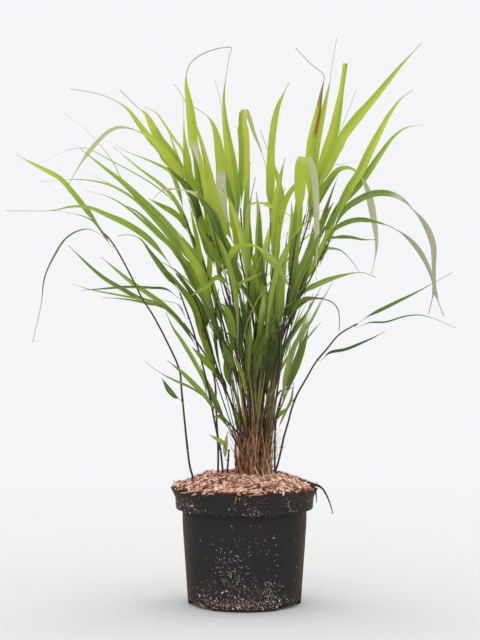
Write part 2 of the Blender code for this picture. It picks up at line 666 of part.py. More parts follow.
def blade_width(share, width, thread):
    """Width of a blade at a share of its length: narrow foot, broad middle, fine tip."""
    foot = 0.3 + 0.7 * smooth_step(share / 0.24)
    start = 0.3 if thread else 0.42
    past = max(share - start, 0.0) / (1.0 - start)
    tip = (1.0 - past) ** 1.15 if thread else 1.0 - past ** 1.7
    return max(width * foot * tip, BLADE_TIP_WIDTH)


def rings_along(line, count):
    """Indices along a line that lie closer together where it bends more."""
    tangents = tangents_of(line)
    bends = [a.angle(b) for a, b in zip(tangents, tangents[1:])]
    whole = sum(bends) + 1e-6
    total = [0.0]
    for bend in bends:
        total.append(total[-1] + 0.55 / len(bends) + 0.45 * bend / whole)
    picks = []
    k = 0
    for i in range(1, count + 1):
        while k < len(total) - 1 and total[k] < total[-1] * i / count - 1e-9:
            k += 1
        if not picks or k > picks[-1]:
            picks.append(k)
    return picks


class Blade:
    """One blade's centre line and frames, in world millimetres."""

    SAMPLES = 41

    def __init__(self, points, adaxial, side_sign, data):
        self.data = data
        self.line = curve_through(points, self.SAMPLES)
        self.length = sum((b - a).length for a, b in zip(self.line, self.line[1:]))
        self.tangents, uppers = carried_frames(self.line, adaxial)
        self.uppers = []
        first = BLADE_FIRST_RING / self.length
        for i, (tangent, upper) in enumerate(zip(self.tangents, uppers)):
            share = i / (self.SAMPLES - 1)
            face = 90 + (data["face"] - 90) * smooth_step((share - first) / 0.2)
            face += (data["turn"] - data["face"]) * smooth_step((share - 0.3) / 0.5)
            spin = Matrix.Rotation(math.radians(side_sign * (90 - face)), 3, tangent)
            self.uppers.append(spin @ upper)

    def ring(self, index, grow=0.0):
        share = index / (self.SAMPLES - 1)
        data = self.data
        half = 0.5 * blade_width(share, data["width"], data["thread"]) + grow
        thick = BLADE_HALF_THICKNESS + grow
        upper = self.uppers[index]
        across = upper.cross(self.tangents[index])
        centre = self.line[index]
        return [centre - across * half - upper * thick, centre + across * half - upper * thick,
                centre + across * half + upper * thick, centre - across * half + upper * thick]

    def picks(self):
        count = 2 + sum(self.length > limit for limit in LONG_BLADES)
        if self.data["fold"] is not None:
            count += 4
        first = max(1, round(BLADE_FIRST_RING / self.length * (self.SAMPLES - 1)))
        rest = [first + k for k in rings_along(self.line[first:], count)]
        return [first] + rest

    def tube(self, grow, root=()):
        """The blade as a closed tube, a little fat, from a root ring if one is given."""
        picks = self.picks()
        corners = list(root)
        for index in picks:
            corners.extend(self.ring(index, grow))
        return corners, tube_faces(len(corners) // 4)


def wall_faces(before, after):
    """Triangles between two rings of four, split alike above and below.

    Where a thin blade twists, its upper and its under side would cross if their
    quads were split along different diagonals.
    """
    faces = []
    for k in range(4):
        n = (k + 1) % 4
        if k < 2:
            faces.append((before[k], before[n], after[n]))
            faces.append((before[k], after[n], after[k]))
        else:
            faces.append((before[k], before[n], after[k]))
            faces.append((before[n], after[n], after[k]))
    return faces


def tube_faces(rings):
    faces = [(3, 2, 1, 0)]
    for i in range(rings - 1):
        ring = range(4 * i, 4 * i + 4)
        faces.extend(wall_faces(ring, [k + 4 for k in ring]))
    top = 4 * (rings - 1)
    faces.append((top, top + 1, top + 2, top + 3))
    return faces


class Placed:
    """Everything placed so far, kept as search trees with their boxes."""

    def __init__(self):
        self.items = []

    def add(self, corners, faces):
        low = Vector([min(c[i] for c in corners) for i in range(3)])
        high = Vector([max(c[i] for c in corners) for i in range(3)])
        self.items.append((low, high, BVHTree.FromPolygons(corners, faces)))

    def clashes(self, corners, faces):
        low = [min(c[i] for c in corners) for i in range(3)]
        high = [max(c[i] for c in corners) for i in range(3)]
        tree = None
        count = 0
        for other_low, other_high, other in self.items:
            if any(low[i] > other_high[i] or high[i] < other_low[i] for i in range(3)):
                continue
            tree = tree or BVHTree.FromPolygons(corners, faces)
            count += len(tree.overlap(other))
        return count


class Culm:
    """A culm's centre line in world millimetres, with the rings of its tube.

    joints are the shares of its length at which blades grow from its sides. Each has
    a socket, a short stretch between two rings, and levels holds the shares of all
    the rings.
    """

    SAMPLES = 81

    def __init__(self, points, joints):
        self.line = curve_through(points, self.SAMPLES)
        self.length = sum((b - a).length for a, b in zip(self.line, self.line[1:]))
        self.tangents = tangents_of(self.line)
        self.levels = [0.0]
        self.sockets = {}
        longest = LONGEST_STRETCH / self.length
        socket = SOCKET / self.length
        for joint in sorted(j for j in joints if j < 1.0):
            low = max(joint - socket / 2, self.levels[-1] + socket / 2)
            if low - self.levels[-1] > longest:
                self.levels.append((self.levels[-1] + low) / 2)
            self.sockets[joint] = len(self.levels)
            self.levels.extend((low, low + socket))
        if 1.0 - self.levels[-1] > longest:
            self.levels.append((self.levels[-1] + 1.0) / 2)
        self.levels.append(1.0)

    def at(self, share):
        place = min(share, 1.0) * (self.SAMPLES - 1)
        k = min(int(place), self.SAMPLES - 2)
        return (self.line[k].lerp(self.line[k + 1], place - k),
                self.tangents[k].lerp(self.tangents[k + 1], place - k).normalized())

    def ring(self, share, grow=0.0):
        centre, tangent = self.at(share)
        half = (CULM_RADIUS + (CULM_TIP_RADIUS - CULM_RADIUS) * share + grow) * SQUARE_HALF
        right = Vector((0.0, 1.0, 0.0)).cross(tangent).normalized()
        back = tangent.cross(right)
        ring = [centre - right * half - back * half, centre + right * half - back * half,
                centre + right * half + back * half, centre - right * half + back * half]
        if share == 0.0:
            for corner in ring:
                corner.z = centre.z
        return ring

    def tube(self, grow):
        corners = []
        for level in self.levels:
            corners.extend(self.ring(level, grow))
        return corners, tube_faces(len(self.levels))


def share_near(line, x, z):
    """The share of a line's length at which it passes closest to x, z."""
    best = min(range(len(line)), key=lambda i: (line[i].x - x) ** 2 + (line[i].z - z) ** 2)
    share = best / (len(line) - 1)
    at_top = share > 0.985 or (line[-1] - line[best]).length < SOCKET / 2
    return 1.0 if at_top else share


# The trials for a piece that meets another: millimetres of depth, or degrees of turn
DEPTH_STEPS = (0, -7, 7, -14, 14, -22, 22, -31, 31, -41, 41, -52, 52, -64, 64, -78, 78,
               -94, 94, -112, 112)
SWING_STEPS = (0, -6, 6, -12, 12, -20, 20, -30, 30, -42, 42, -56, 56, -75, 75)
TILT_STEPS = (0, -5, 5, -10)


def culm_points(data, foot_y, top_y):
    """A culm's points in depth: it leaves the crown upright and leans more above."""
    pairs = data["culm"]
    start = pairs[0][1]
    rise = pairs[-1][1] - start
    points = []
    for x, z in pairs:
        share = (z - start) / rise
        points.append(seen_at(x, z, foot_y + (top_y - foot_y) * share ** 1.25))
    if data["on_mulch"]:
        foot = points[0]
        foot.z = mulch_height(math.hypot(foot.x, foot.y)) + 2 * GAP
    else:
        points[0].z = CROWN_TOP + GAP
    return points


def blade_points(culm, share, data, shift):
    """A blade's points in depth, from its socket on the culm to its tip."""
    foot, tangent = culm.at(share)
    path = data["path"]
    lean = data["lean"] + shift
    reach = [0.0]
    for a, b in zip(path, path[1:]):
        reach.append(reach[-1] + math.dist(a, b))
    depths = []
    for i, travelled in enumerate(reach):
        depth = foot.y + lean * travelled / reach[-1]
        if data["fold"] is not None:
            if i > data["fold"]:
                depth += FOLD_DROP_DEPTH
            elif i == data["fold"]:
                depth += FOLD_DROP_DEPTH / 2
        depths.append(depth)
    places = [seen_at(x, z, y) for (x, z), y in zip(path, depths)]
    sign = 1.0 if path[1][0] > path[0][0] else -1.0
    if share >= 1.0:
        return [foot] + places[1:], sign, None
    outward = Vector((0.0, 1.0, 0.0)).cross(tangent).normalized() * sign
    start = foot + outward * CULM_RADIUS
    knee = foot + outward * (CULM_RADIUS + KNEE_OUT) + tangent * KNEE_UP
    far = [place for place in places[1:] if (place - foot).length > KNEE_CLEAR]
    return [start, knee] + far, sign, outward


def rule_shoot(angle, foot_radius, height, lean, blades, order):
    """Points of a shoot of the clump's inside, and of its blades, in world millimetres."""
    way = Vector((math.cos(math.radians(angle)), math.sin(math.radians(angle)), 0.0))
    foot = Vector((CROWN_X, 0.0, CROWN_TOP + GAP)) + way * foot_radius
    culm = []
    for i in range(6):
        share = i / 5
        culm.append(foot + way * lean * share ** 1.8 + Vector((0.0, 0.0, height * share)))
    leaves = []
    for k in range(blades):
        share = 1.0 - 0.17 * k
        side = (-1) ** (k + order) * INNER_SIDE_ANGLE * (0.25 if k == 0 else 1.0)
        bearing = math.radians(angle + side)
        out = Vector((math.cos(bearing), math.sin(bearing), 0.0))
        length = INNER_BLADE_LENGTH * (1.0 - 0.09 * k)
        start = INNER_FIRST_CLIMB - 5.0 * k
        points = [Vector((0.0, 0.0, 0.0))]
        for i in range(6):
            climb = math.radians(start + (INNER_LAST_CLIMB - start) * i / 5)
            step = out * math.cos(climb) + Vector((0.0, 0.0, math.sin(climb)))
            points.append(points[-1] + step * length / 6)
        leaves.append((share, points, out))
    return culm, leaves


class Shoot:
    """A culm and its blades, fitted clear of what stands already."""

    def __init__(self, name):
        self.name = name
        self.culm = None
        self.blades = []

    def place_culm(self, placed, make, choices):
        """Takes the first choice whose culm stands clear, or the one that clashes least."""
        best = None
        for choice in choices:
            culm = make(choice)
            count = placed.clashes(*culm.tube(CLEARANCE))
            if best is None or count < best[0]:
                best = (count, culm, choice)
            if count == 0:
                break
        self.culm = best[1]
        return best[2], best[0]

    def place_blade(self, placed, share, make, choices):
        """Takes the first choice whose blade stands clear of all the others."""
        stem = Placed()
        if share < 1.0:
            stem.add(*self.culm.tube(0.0))
        siblings = Placed()
        for other_share, other in self.blades:
            siblings.add(*other.tube(0.0, self.root_ring(other_share, other)))
        best = None
        for choice in choices:
            blade = make(choice)
            rooted = blade.tube(CLEARANCE, self.root_ring(share, blade))
            count = placed.clashes(*rooted) + siblings.clashes(*rooted)
            count += stem.clashes(*blade.tube(CLEARANCE))
            if best is None or count < best[0]:
                best = (count, blade)
            if count == 0:
                break
        self.blades.append((share, best[1]))
        return best[0]

    def root_ring(self, share, blade):
        """The four corners on the culm that a blade grows from, in its own order."""
        if share >= 1.0:
            top = self.culm.ring(1.0)
            turn = self.turn_of(blade)
            return [top[(k + turn) % 4] for k in range(4)]
        level = self.culm.sockets[share]
        low = self.culm.ring(self.culm.levels[level])
        high = self.culm.ring(self.culm.levels[level + 1])
        k = side_of(blade.out)
        after = (k + 1) % 4
        return [low[k], low[after], high[after], high[k]]

    def turn_of(self, blade):
        """How far the culm's top ring is turned to meet the blade's first ring."""
        first = blade.ring(blade.picks()[0])
        top = self.culm.ring(1.0)
        costs = []
        for turn in range(4):
            costs.append(sum((first[k] - top[(k + turn) % 4]).length for k in range(4)))
        return costs.index(min(costs))

    def mesh_data(self):
        """Corners and faces of the whole shoot as one closed surface."""
        levels = self.culm.levels
        corners = []
        for level in levels:
            corners.extend(self.culm.ring(level))
        faces = [(3, 2, 1, 0)]
        rooted = {}
        for share, blade in self.blades:
            if share < 1.0:
                rooted[(self.culm.sockets[share], side_of(blade.out))] = blade
        for level in range(len(levels) - 1):
            for k in range(4):
                a = 4 * level + k
                b = 4 * level + (k + 1) % 4
                loop = (a, b, b + 4, a + 4)
                if (level, k) in rooted:
                    grow_blade(corners, faces, loop, rooted[(level, k)])
                else:
                    faces.append(loop)
        top = 4 * (len(levels) - 1)
        last = [blade for share, blade in self.blades if share >= 1.0]
        if last:
            turn = self.turn_of(last[0])
            grow_blade(corners, faces, [top + (k + turn) % 4 for k in range(4)], last[0])
        else:
            faces.append((top, top + 1, top + 2, top + 3))
        return corners, faces


def side_of(out):
    """The tube's side face towards out: 0 front, 1 right, 2 back, 3 left."""
    if abs(out.x) >= abs(out.y):
        return 1 if out.x > 0 else 3
    return 2 if out.y > 0 else 0


def grow_blade(corners, faces, loop, blade):
    """Carries a four-cornered opening out along a blade and closes its tip."""
    before = list(loop)
    for index in blade.picks():
        after = list(range(len(corners), len(corners) + 4))
        corners.extend(blade.ring(index))
        faces.extend(wall_faces(before, after))
        before = after
    faces.append(tuple(before))


def traced_shoot(placed, data):
    """A shoot of the table, moved in depth where it would meet another."""
    item = Shoot(data["name"])
    choices = [(data["foot_y"] + foot, data["top_y"] + top)
               for top in (0, -8, 8, -16, 16, -26, 26, -38, 38)
               for foot in (0, -3, 3, -6, 6)]

    def make_culm(choice):
        points = culm_points(data, *choice)
        line = curve_through(points, Culm.SAMPLES)
        return Culm(points, [share_near(line, *one["path"][0]) for one in data["leaves"]])

    _, count = item.place_culm(placed, make_culm, choices)
    report = [count]
    for one in data["leaves"]:
        share = share_near(item.culm.line, *one["path"][0])

        def make_blade(shift, one=one, share=share):
            points, sign, out = blade_points(item.culm, share, one, shift)
            tangent = item.culm.at(share)[1]
            upward = tangent if out is not None else sign * tangent.cross(Vector((0, 1, 0)))
            blade = Blade(points, upward, sign, one)
            blade.out = out if out is not None else Vector((sign, 0.0, 0.0))
            return blade

        report.append(item.place_blade(placed, share, make_blade, DEPTH_STEPS))
    placed.add(*item.mesh_data())
    return item, report


def ruled_shoot(placed, name, angle, height, lean, blades, order):
    """A shoot of the clump's inside, turned about the crown where it would meet another."""
    item = Shoot(name)
    choices = [(turn, radius) for turn in (0, 5, -5, 10, -10, 16, -16, 23, -23, 31, -31)
               for radius in INNER_FOOT_RADII]

    def make_culm(choice):
        points, leaves = rule_shoot(angle + choice[0], choice[1], height, lean, blades, order)
        return Culm(points, [share for share, _, _ in leaves])

    (turn, radius), count = item.place_culm(placed, make_culm, choices)
    report = [count]
    _, leaves = rule_shoot(angle + turn, radius, height, lean, blades, order)
    for number, (share, points, out) in enumerate(leaves):
        data = leaf(INNER_BLADE_WIDTH - number, 90, 90)

        def make_blade(choice, share=share, points=points, out=out, data=data):
            foot, tangent = item.culm.at(share)
            tilt = Matrix.Rotation(math.radians(choice[1]), 3, out.cross(Vector((0, 0, 1))))
            swing = Matrix.Rotation(math.radians(choice[0]), 3, "Z") @ tilt
            away = swing @ out
            places = [foot + swing @ point for point in points]
            if share < 1.0:
                flat = (Vector((1, 0, 0)), Vector((0, 1, 0)), Vector((-1, 0, 0)),
                        Vector((0, -1, 0)))
                outward = max(flat, key=away.dot)
                outward = (outward - tangent * outward.dot(tangent)).normalized()
                knee = foot + outward * (CULM_RADIUS + KNEE_OUT) + tangent * KNEE_UP
                far = [place for place in places[1:] if (place - foot).length > KNEE_CLEAR]
                places = [foot + outward * CULM_RADIUS, knee] + far
                blade = Blade(places, tangent, 1.0, data)
                blade.out = outward
            else:
                upward = (-away - tangent * -away.dot(tangent)).normalized()
                blade = Blade(places, upward, 1.0, data)
                blade.out = away
            return blade

        turns = [(swing, tilt) for swing in SWING_STEPS for tilt in TILT_STEPS]
        report.append(item.place_blade(placed, share, make_blade, turns))
    placed.add(*item.mesh_data())
    return item, report


def all_shoots():
    placed = Placed()
    result = []
    for data in SHOOTS:
        result.append(traced_shoot(placed, data))
    for order, row in enumerate(INNER_SHOOTS):
        result.append(ruled_shoot(placed, *row, order))
    return result


def build_strand(material):
    """A dried strand of leaf that lies on the mulch and hangs over the rim."""
    path = ((80, -22, 158.6), (88, -26, 156.2), (95, -28, 154.4), (101, -29, 148.5),
            (106, -30, 139), (110, -31, 128), (112.5, -31, 119))
    line = curve_through(path, 9)
    tangents = tangents_of(line)
    corners = []
    for centre, tangent in zip(line, tangents):
        side = tangent.cross(Vector((0.3, 1.0, 0.0))).normalized()
        back = tangent.cross(side)
        half = 0.8
        corners.extend((centre - side * half - back * half, centre + side * half - back * half,
                        centre + side * half + back * half, centre - side * half + back * half))
    return add_mesh_object("dried_strand", corners, tube_faces(len(line)), material)


GREENS = ((0.16, 0.32, 0.03), (0.24, 0.42, 0.05), (0.10, 0.24, 0.03), (0.30, 0.46, 0.06))


def main():
    remove_everything()
    build_pot(finish_material("pot_plastic", (0.030, 0.030, 0.033), 0.55))
    build_soil(finish_material("soil", (0.045, 0.028, 0.018), 0.95))
    build_mulch(finish_material("bark", (0.42, 0.20, 0.13), 0.9))
    build_crown(finish_material("old_sheaths", (0.16, 0.05, 0.03), 0.8))
    build_strand(finish_material("dry_leaf", (0.06, 0.03, 0.02), 0.8))
    greens = [finish_material(f"leaf_green_{k}", colour, 0.5)
              for k, colour in enumerate(GREENS)]
    for number, (item, report) in enumerate(all_shoots()):
        corners, faces = item.mesh_data()
        add_mesh_object(item.name, corners, faces, greens[number % len(greens)])
        if any(report):
            print(item.name, "still meets a neighbour:", report)


main()
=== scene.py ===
"""Potted Japanese forest grass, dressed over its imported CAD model.

Every shoot is swept from traced centre lines by one Geometry Nodes tree. A second
tree strews the bark chips over the mulch and the litter over the pot, and the crown's
old sheaths are swept as the blades are. Lengths in the tables are in millimetres, and
the pieces are in metres.
"""

import logging
import math
import random
from collections.abc import Callable, Sequence
from dataclasses import dataclass, field
from enum import Enum
from functools import cache
from itertools import accumulate, pairwise

import bmesh
import bpy
from mathutils import Matrix, Vector


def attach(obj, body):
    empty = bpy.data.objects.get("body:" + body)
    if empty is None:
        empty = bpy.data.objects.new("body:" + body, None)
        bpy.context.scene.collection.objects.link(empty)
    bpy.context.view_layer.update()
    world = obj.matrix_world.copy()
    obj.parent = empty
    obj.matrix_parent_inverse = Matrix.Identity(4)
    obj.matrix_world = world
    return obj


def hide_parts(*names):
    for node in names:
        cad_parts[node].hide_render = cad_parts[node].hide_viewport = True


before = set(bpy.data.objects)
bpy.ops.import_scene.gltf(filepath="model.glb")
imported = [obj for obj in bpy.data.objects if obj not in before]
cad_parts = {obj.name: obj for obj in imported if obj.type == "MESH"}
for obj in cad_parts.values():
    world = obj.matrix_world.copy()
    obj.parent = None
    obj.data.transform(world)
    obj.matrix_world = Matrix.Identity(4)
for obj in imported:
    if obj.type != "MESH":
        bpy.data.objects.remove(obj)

log = logging.getLogger("forest_grass")

MM = 0.001
CURVE_STEPS = 12

# The pot and the mulch, as in the part's source
POT_HEIGHT = 150.0
RIM_RADIUS = 95.0
BAND_RADIUS = 88.0
BAND_BOTTOM = 123.0
LIP_BOTTOM = 137.0
BODY_TOP_RADIUS = 80.0
BASE_RADIUS = 72.5
MULCH_RADIUS = 93.0
MULCH_TOP = 171.0
MULCH_FLAT_RADIUS = 45.0
MULCH_EDGE = 151.6
MULCH_FALL_POWER = 1.6
CROWN_X = 13.0
CROWN_RADIUS = 24.0
CROWN_TOP = 217.0
GAP = 0.3

# The shoots, as in the part's source
CULM_RADIUS = 1.35
SOCKET = 3.6
BLADE_FIRST_RING = 5.0
FOLD_DROP_DEPTH = 18.0
KNEE_OUT = 2.6
KNEE_UP = 3.0
KNEE_CLEAR = 10.0
FOOT_INSIDE = 0.6
EYE_DISTANCE = 2600.0
EYE_HEIGHT = 450.0

# The look of the blades: the share of the length over which a stretch fades in or out,
# and how sharply a blade's hollow rises to its edges
SOFT_END = 0.02
HOLLOW_POWER = 1.3

# Socket types
NUMBER = "NodeSocketFloat"
WHOLE = "NodeSocketInt"
VECTOR = "NodeSocketVector"
GEOMETRY = "NodeSocketGeometry"
MATERIAL = "NodeSocketMaterial"

Item = bpy.types.Object
Mesh = bpy.types.Mesh
Tree = bpy.types.NodeTree
Node = bpy.types.Node
Socket = bpy.types.NodeSocket
Sockets = bpy.types.bpy_prop_collection
Feed = Socket | float | int | str | bool | tuple[float, ...]
Pair = tuple[float, float]
Triple = tuple[float, float, float]
Colour = Triple
Path = tuple[Pair, ...]
Stretches = tuple[float, ...]


# Node wiring


class Graph:
    """Short calls for wiring a node tree."""

    def __init__(self, tree: Tree) -> None:
        """Keeps the tree that is being wired, and a material's shader."""
        self.tree = tree
        self.shader = tree.nodes.get("Principled BSDF")

    def add(self, kind: str, feeds: dict[int | str, Feed] | None = None,
            **settings: object) -> Node:
        """Adds one node.

        Args:
            kind: The node's type name.
            feeds: What its inputs get, a socket or a value, by index or name.
            settings: Properties of the node itself.

        Returns:
            The new node.
        """
        node = self.tree.nodes.new(kind)
        for name, value in settings.items():
            setattr(node, name, value)
        for key, value in (feeds or {}).items():
            if isinstance(value, Socket):
                self.tree.links.new(value, node.inputs[key])
            else:
                node.inputs[key].default_value = value
        return node

    def out(self, kind: str, feeds: dict[int | str, Feed] | None = None,
            **settings: object) -> Socket:
        """Adds one node, as add does, and returns its first output."""
        return self.add(kind, feeds, **settings).outputs[0]

    def link(self, source: Socket, target: Socket) -> None:
        """Joins an output to an input."""
        self.tree.links.new(source, target)

    def math(self, operation: str, *terms: Feed) -> Socket:
        """Adds a Math node and returns its result."""
        feeds = dict(enumerate(terms))
        return self.out("ShaderNodeMath", feeds, operation=operation)

    def times(self, first: Feed, second: Feed) -> Socket:
        """The product of two values."""
        return self.math("MULTIPLY", first, second)

    def plus(self, first: Feed, second: Feed) -> Socket:
        """The sum of two values."""
        return self.math("ADD", first, second)

    def parts(self, vector: Socket) -> tuple[Socket, ...]:
        """The x, y and z of a vector."""
        return tuple(self.add("ShaderNodeSeparateXYZ", {0: vector}).outputs)

    def joined(self, x: Feed, y: Feed, z: Feed = 0.0) -> Socket:
        """A vector of x, y and z."""
        return self.out("ShaderNodeCombineXYZ", {0: x, 1: y, 2: z})

    def fit(self, value: Feed, low: float, high: float, first: float = 0.0,
            last: float = 1.0) -> Socket:
        """Turns low to high into first to last, smoothly and clamped."""
        feeds = {0: value, 1: low, 2: high, 3: first, 4: last}
        return self.out("ShaderNodeMapRange", feeds, interpolation_type="SMOOTHSTEP")

    def mix(self, share: Feed, first: Feed, second: Feed, blend: str = "MIX") -> Socket:
        """Mixes two colours by a share, or multiplies the first by the second."""
        feeds = {0: share, 6: four(first), 7: four(second)}
        return self.add("ShaderNodeMix", feeds, data_type="RGBA", blend_type=blend).outputs[2]

    def ramp(self, value: Socket, stops: Sequence[tuple[float, Colour]]) -> Socket:
        """Reads a colour off a ramp.

        Args:
            value: Where on the ramp.
            stops: Place and colour of each stop.

        Returns:
            The colour.
        """
        node = self.add("ShaderNodeValToRGB", {0: value})
        elements = node.color_ramp.elements
        for place, _ in stops[2:]:
            elements.new(place)
        for element, (place, colour) in zip(elements, stops):
            element.position = place
            element.color = four(colour)
        return node.outputs[0]

    def noise(self, vector: Socket, scale: Feed, detail: float = 3.0,
              rough: float = 0.55) -> Socket:
        """A noise value between 0 and 1."""
        feeds = {"Vector": vector, "Scale": scale, "Detail": detail, "Roughness": rough}
        return self.out("ShaderNodeTexNoise", feeds)

    def stretch(self, vector: Socket, scale: Triple) -> Socket:
        """A vector scaled along its axes."""
        return self.out("ShaderNodeMapping", {"Vector": vector, "Scale": scale})

    def read(self, name: str, part: str = "Fac") -> Socket:
        """A material's reading of an attribute of the mesh."""
        node = self.add("ShaderNodeAttribute", attribute_name=name)
        return node.outputs[part]

    def place(self) -> Socket:
        """A material's Object coordinates."""
        return self.add("ShaderNodeTexCoord").outputs["Object"]

    def cloud(self, scale: float, reach: float) -> Socket:
        """A cloudy shift of a tone over a material's Object coordinates."""
        feeds = {"Vector": self.place(), "Scale": scale, "Reach": reach}
        return self.out("ShaderNodeGroup", feeds, node_tree=mottle())

    def fibres(self, count: float, wander: float) -> Socket:
        """Fine lines along a swept piece, from its own attributes.

        Args:
            count: How many lines there are across.
            wander: How far they stray from straight.

        Returns:
            0 between the lines and 1 on them.
        """
        feeds = {"Across": self.read("across"), "Along": self.read("along"),
                 "Count": count, "Wander": wander}
        return self.out("ShaderNodeGroup", feeds, node_tree=fibre_lines())

    def coat(self, colour: Socket, height: Socket, distance: float,
             strength: float) -> Socket:
        """Gives the shader its colour and its relief.

        Args:
            colour: Its colour.
            height: The height of the relief.
            distance: How high a height of 1 stands, in metres.
            strength: How strongly the relief shows.

        Returns:
            The normal.
        """
        feeds = {"Height": height, "Distance": distance, "Strength": strength}
        normal = self.out("ShaderNodeBump", feeds)
        self.link(colour, self.shader.inputs["Base Color"])
        self.link(normal, self.shader.inputs["Normal"])
        return normal

    def cover(self, over: Node, share: Feed) -> None:
        """Lays another shader over the material's own.

        Args:
            over: The other shader.
            share: How far it covers, from 0 to 1.
        """
        feeds = {0: share, 1: self.shader.outputs[0], 2: over.outputs[0]}
        mixed = self.out("ShaderNodeMixShader", feeds)
        self.link(mixed, self.tree.nodes["Material Output"].inputs["Surface"])

    def finished(self, geometry: Socket, finish: Socket) -> Socket:
        """Makes a geometry real and gives it its material."""
        real = self.out("GeometryNodeRealizeInstances", {0: geometry})
        return self.out("GeometryNodeSetMaterial", {0: real, 2: finish})

    def position(self) -> Socket:
        """A geometry tree's reading of each point's place."""
        return self.out("GeometryNodeInputPosition")

    def named(self, name: str, kind: str = "FLOAT") -> Socket:
        """A geometry tree's reading of an attribute."""
        return self.add("GeometryNodeInputNamedAttribute", {"Name": name},
                        data_type=kind).outputs["Attribute"]

    def store(self, geometry: Socket, name: str, value: Feed, kind: str = "FLOAT",
              domain: str = "POINT") -> Socket:
        """Stores an attribute on a geometry.

        Args:
            geometry: The geometry.
            name: The attribute's name.
            value: Its value.
            kind: Its data type.
            domain: What it is stored on.

        Returns:
            The geometry with it.
        """
        feeds = {"Geometry": geometry, "Name": name, "Value": value}
        return self.out("GeometryNodeStoreNamedAttribute", feeds, data_type=kind,
                        domain=domain)


def four(colour: Feed) -> Feed:
    """A colour with its alpha, or whatever else it is unchanged."""
    is_colour = isinstance(colour, tuple) and len(colour) == 3
    return (*colour, 1.0) if is_colour else colour


def new_tree(name: str, kind: str, inputs: dict[str, tuple[str, Feed | None]],
             outputs: dict[str, str]) -> tuple[Graph, Sockets, Sockets]:
    """Starts a node group with named sockets.

    Args:
        name: The group's name.
        kind: GeometryNodeTree or ShaderNodeTree.
        inputs: Socket type and default value of each input, by name.
        outputs: Socket type of each output, by name.

    Returns:
        The graph, what the group is given, and what it has to fill.
    """
    tree = bpy.data.node_groups.new(name, kind)
    for label, (socket_type, value) in inputs.items():
        item = tree.interface.new_socket(label, in_out="INPUT", socket_type=socket_type)
        if value is not None:
            item.default_value = value
    for label, socket_type in outputs.items():
        tree.interface.new_socket(label, in_out="OUTPUT", socket_type=socket_type)
    graph = Graph(tree)
    return graph, graph.add("NodeGroupInput").outputs, graph.add("NodeGroupOutput").inputs


@cache
def fibre_lines() -> Tree:
    """The group for fine lines that run along a leaf, a stem or a sheath.

    Returns:
        A group whose inputs are Across, Along, Count and Wander, and whose output
        Lines is 0 between the fibres and 1 on them.
    """
    graph, given, result = new_tree(
        "fibre_lines", "ShaderNodeTree",
        {"Across": (NUMBER, 0.0), "Along": (NUMBER, 0.0), "Count": (NUMBER, 12.0),
         "Wander": (NUMBER, 0.3)}, {"Lines": NUMBER})
    spot = graph.joined(given["Across"], graph.times(given["Along"], 3.0))
    shift = graph.math("SUBTRACT", graph.noise(spot, 4.0, 2.0), 0.5)
    place = graph.plus(given["Across"], graph.times(shift, given["Wander"]))
    turns = graph.times(place, given["Count"])
    wave = graph.math("SINE", graph.times(turns, math.pi))
    graph.link(graph.math("MULTIPLY_ADD", wave, 0.5, 0.5), result["Lines"])
    return graph.tree


@cache
def mottle() -> Tree:
    """The group for cloudy variation of a colour over a surface.

    Returns:
        A group whose inputs are Vector, Scale and Reach, and whose output Shift runs
        from minus Reach to plus Reach.
    """
    graph, given, result = new_tree(
        "mottle", "ShaderNodeTree",
        {"Vector": (VECTOR, None), "Scale": (NUMBER, 60.0), "Reach": (NUMBER, 0.2)},
        {"Shift": NUMBER})
    cloud = graph.noise(given["Vector"], given["Scale"], 4.0, 0.6)
    centred = graph.times(graph.math("SUBTRACT", cloud, 0.5), 3.2)
    graph.link(graph.times(centred, given["Reach"]), result["Shift"])
    return graph.tree


# Finishes


@dataclass(frozen=True)
class Finish:
    """A finish of one of the plant's own surfaces."""

    name: str
    roughness: float = 0.6
    specular: float = 0.4

    def build(self) -> bpy.types.Material:
        """Makes the material.

        Returns:
            The material, a Principled shader that the finish has painted.
        """
        material = bpy.data.materials.new(self.name)
        material.use_nodes = True
        graph = Graph(material.node_tree)
        graph.shader.inputs["Roughness"].default_value = self.roughness
        graph.shader.inputs["Specular IOR Level"].default_value = self.specular
        self.paint(graph)
        return material

    def paint(self, graph: Graph) -> None:
        """Wires the finish's colours and relief into the material's shader."""
        raise NotImplementedError


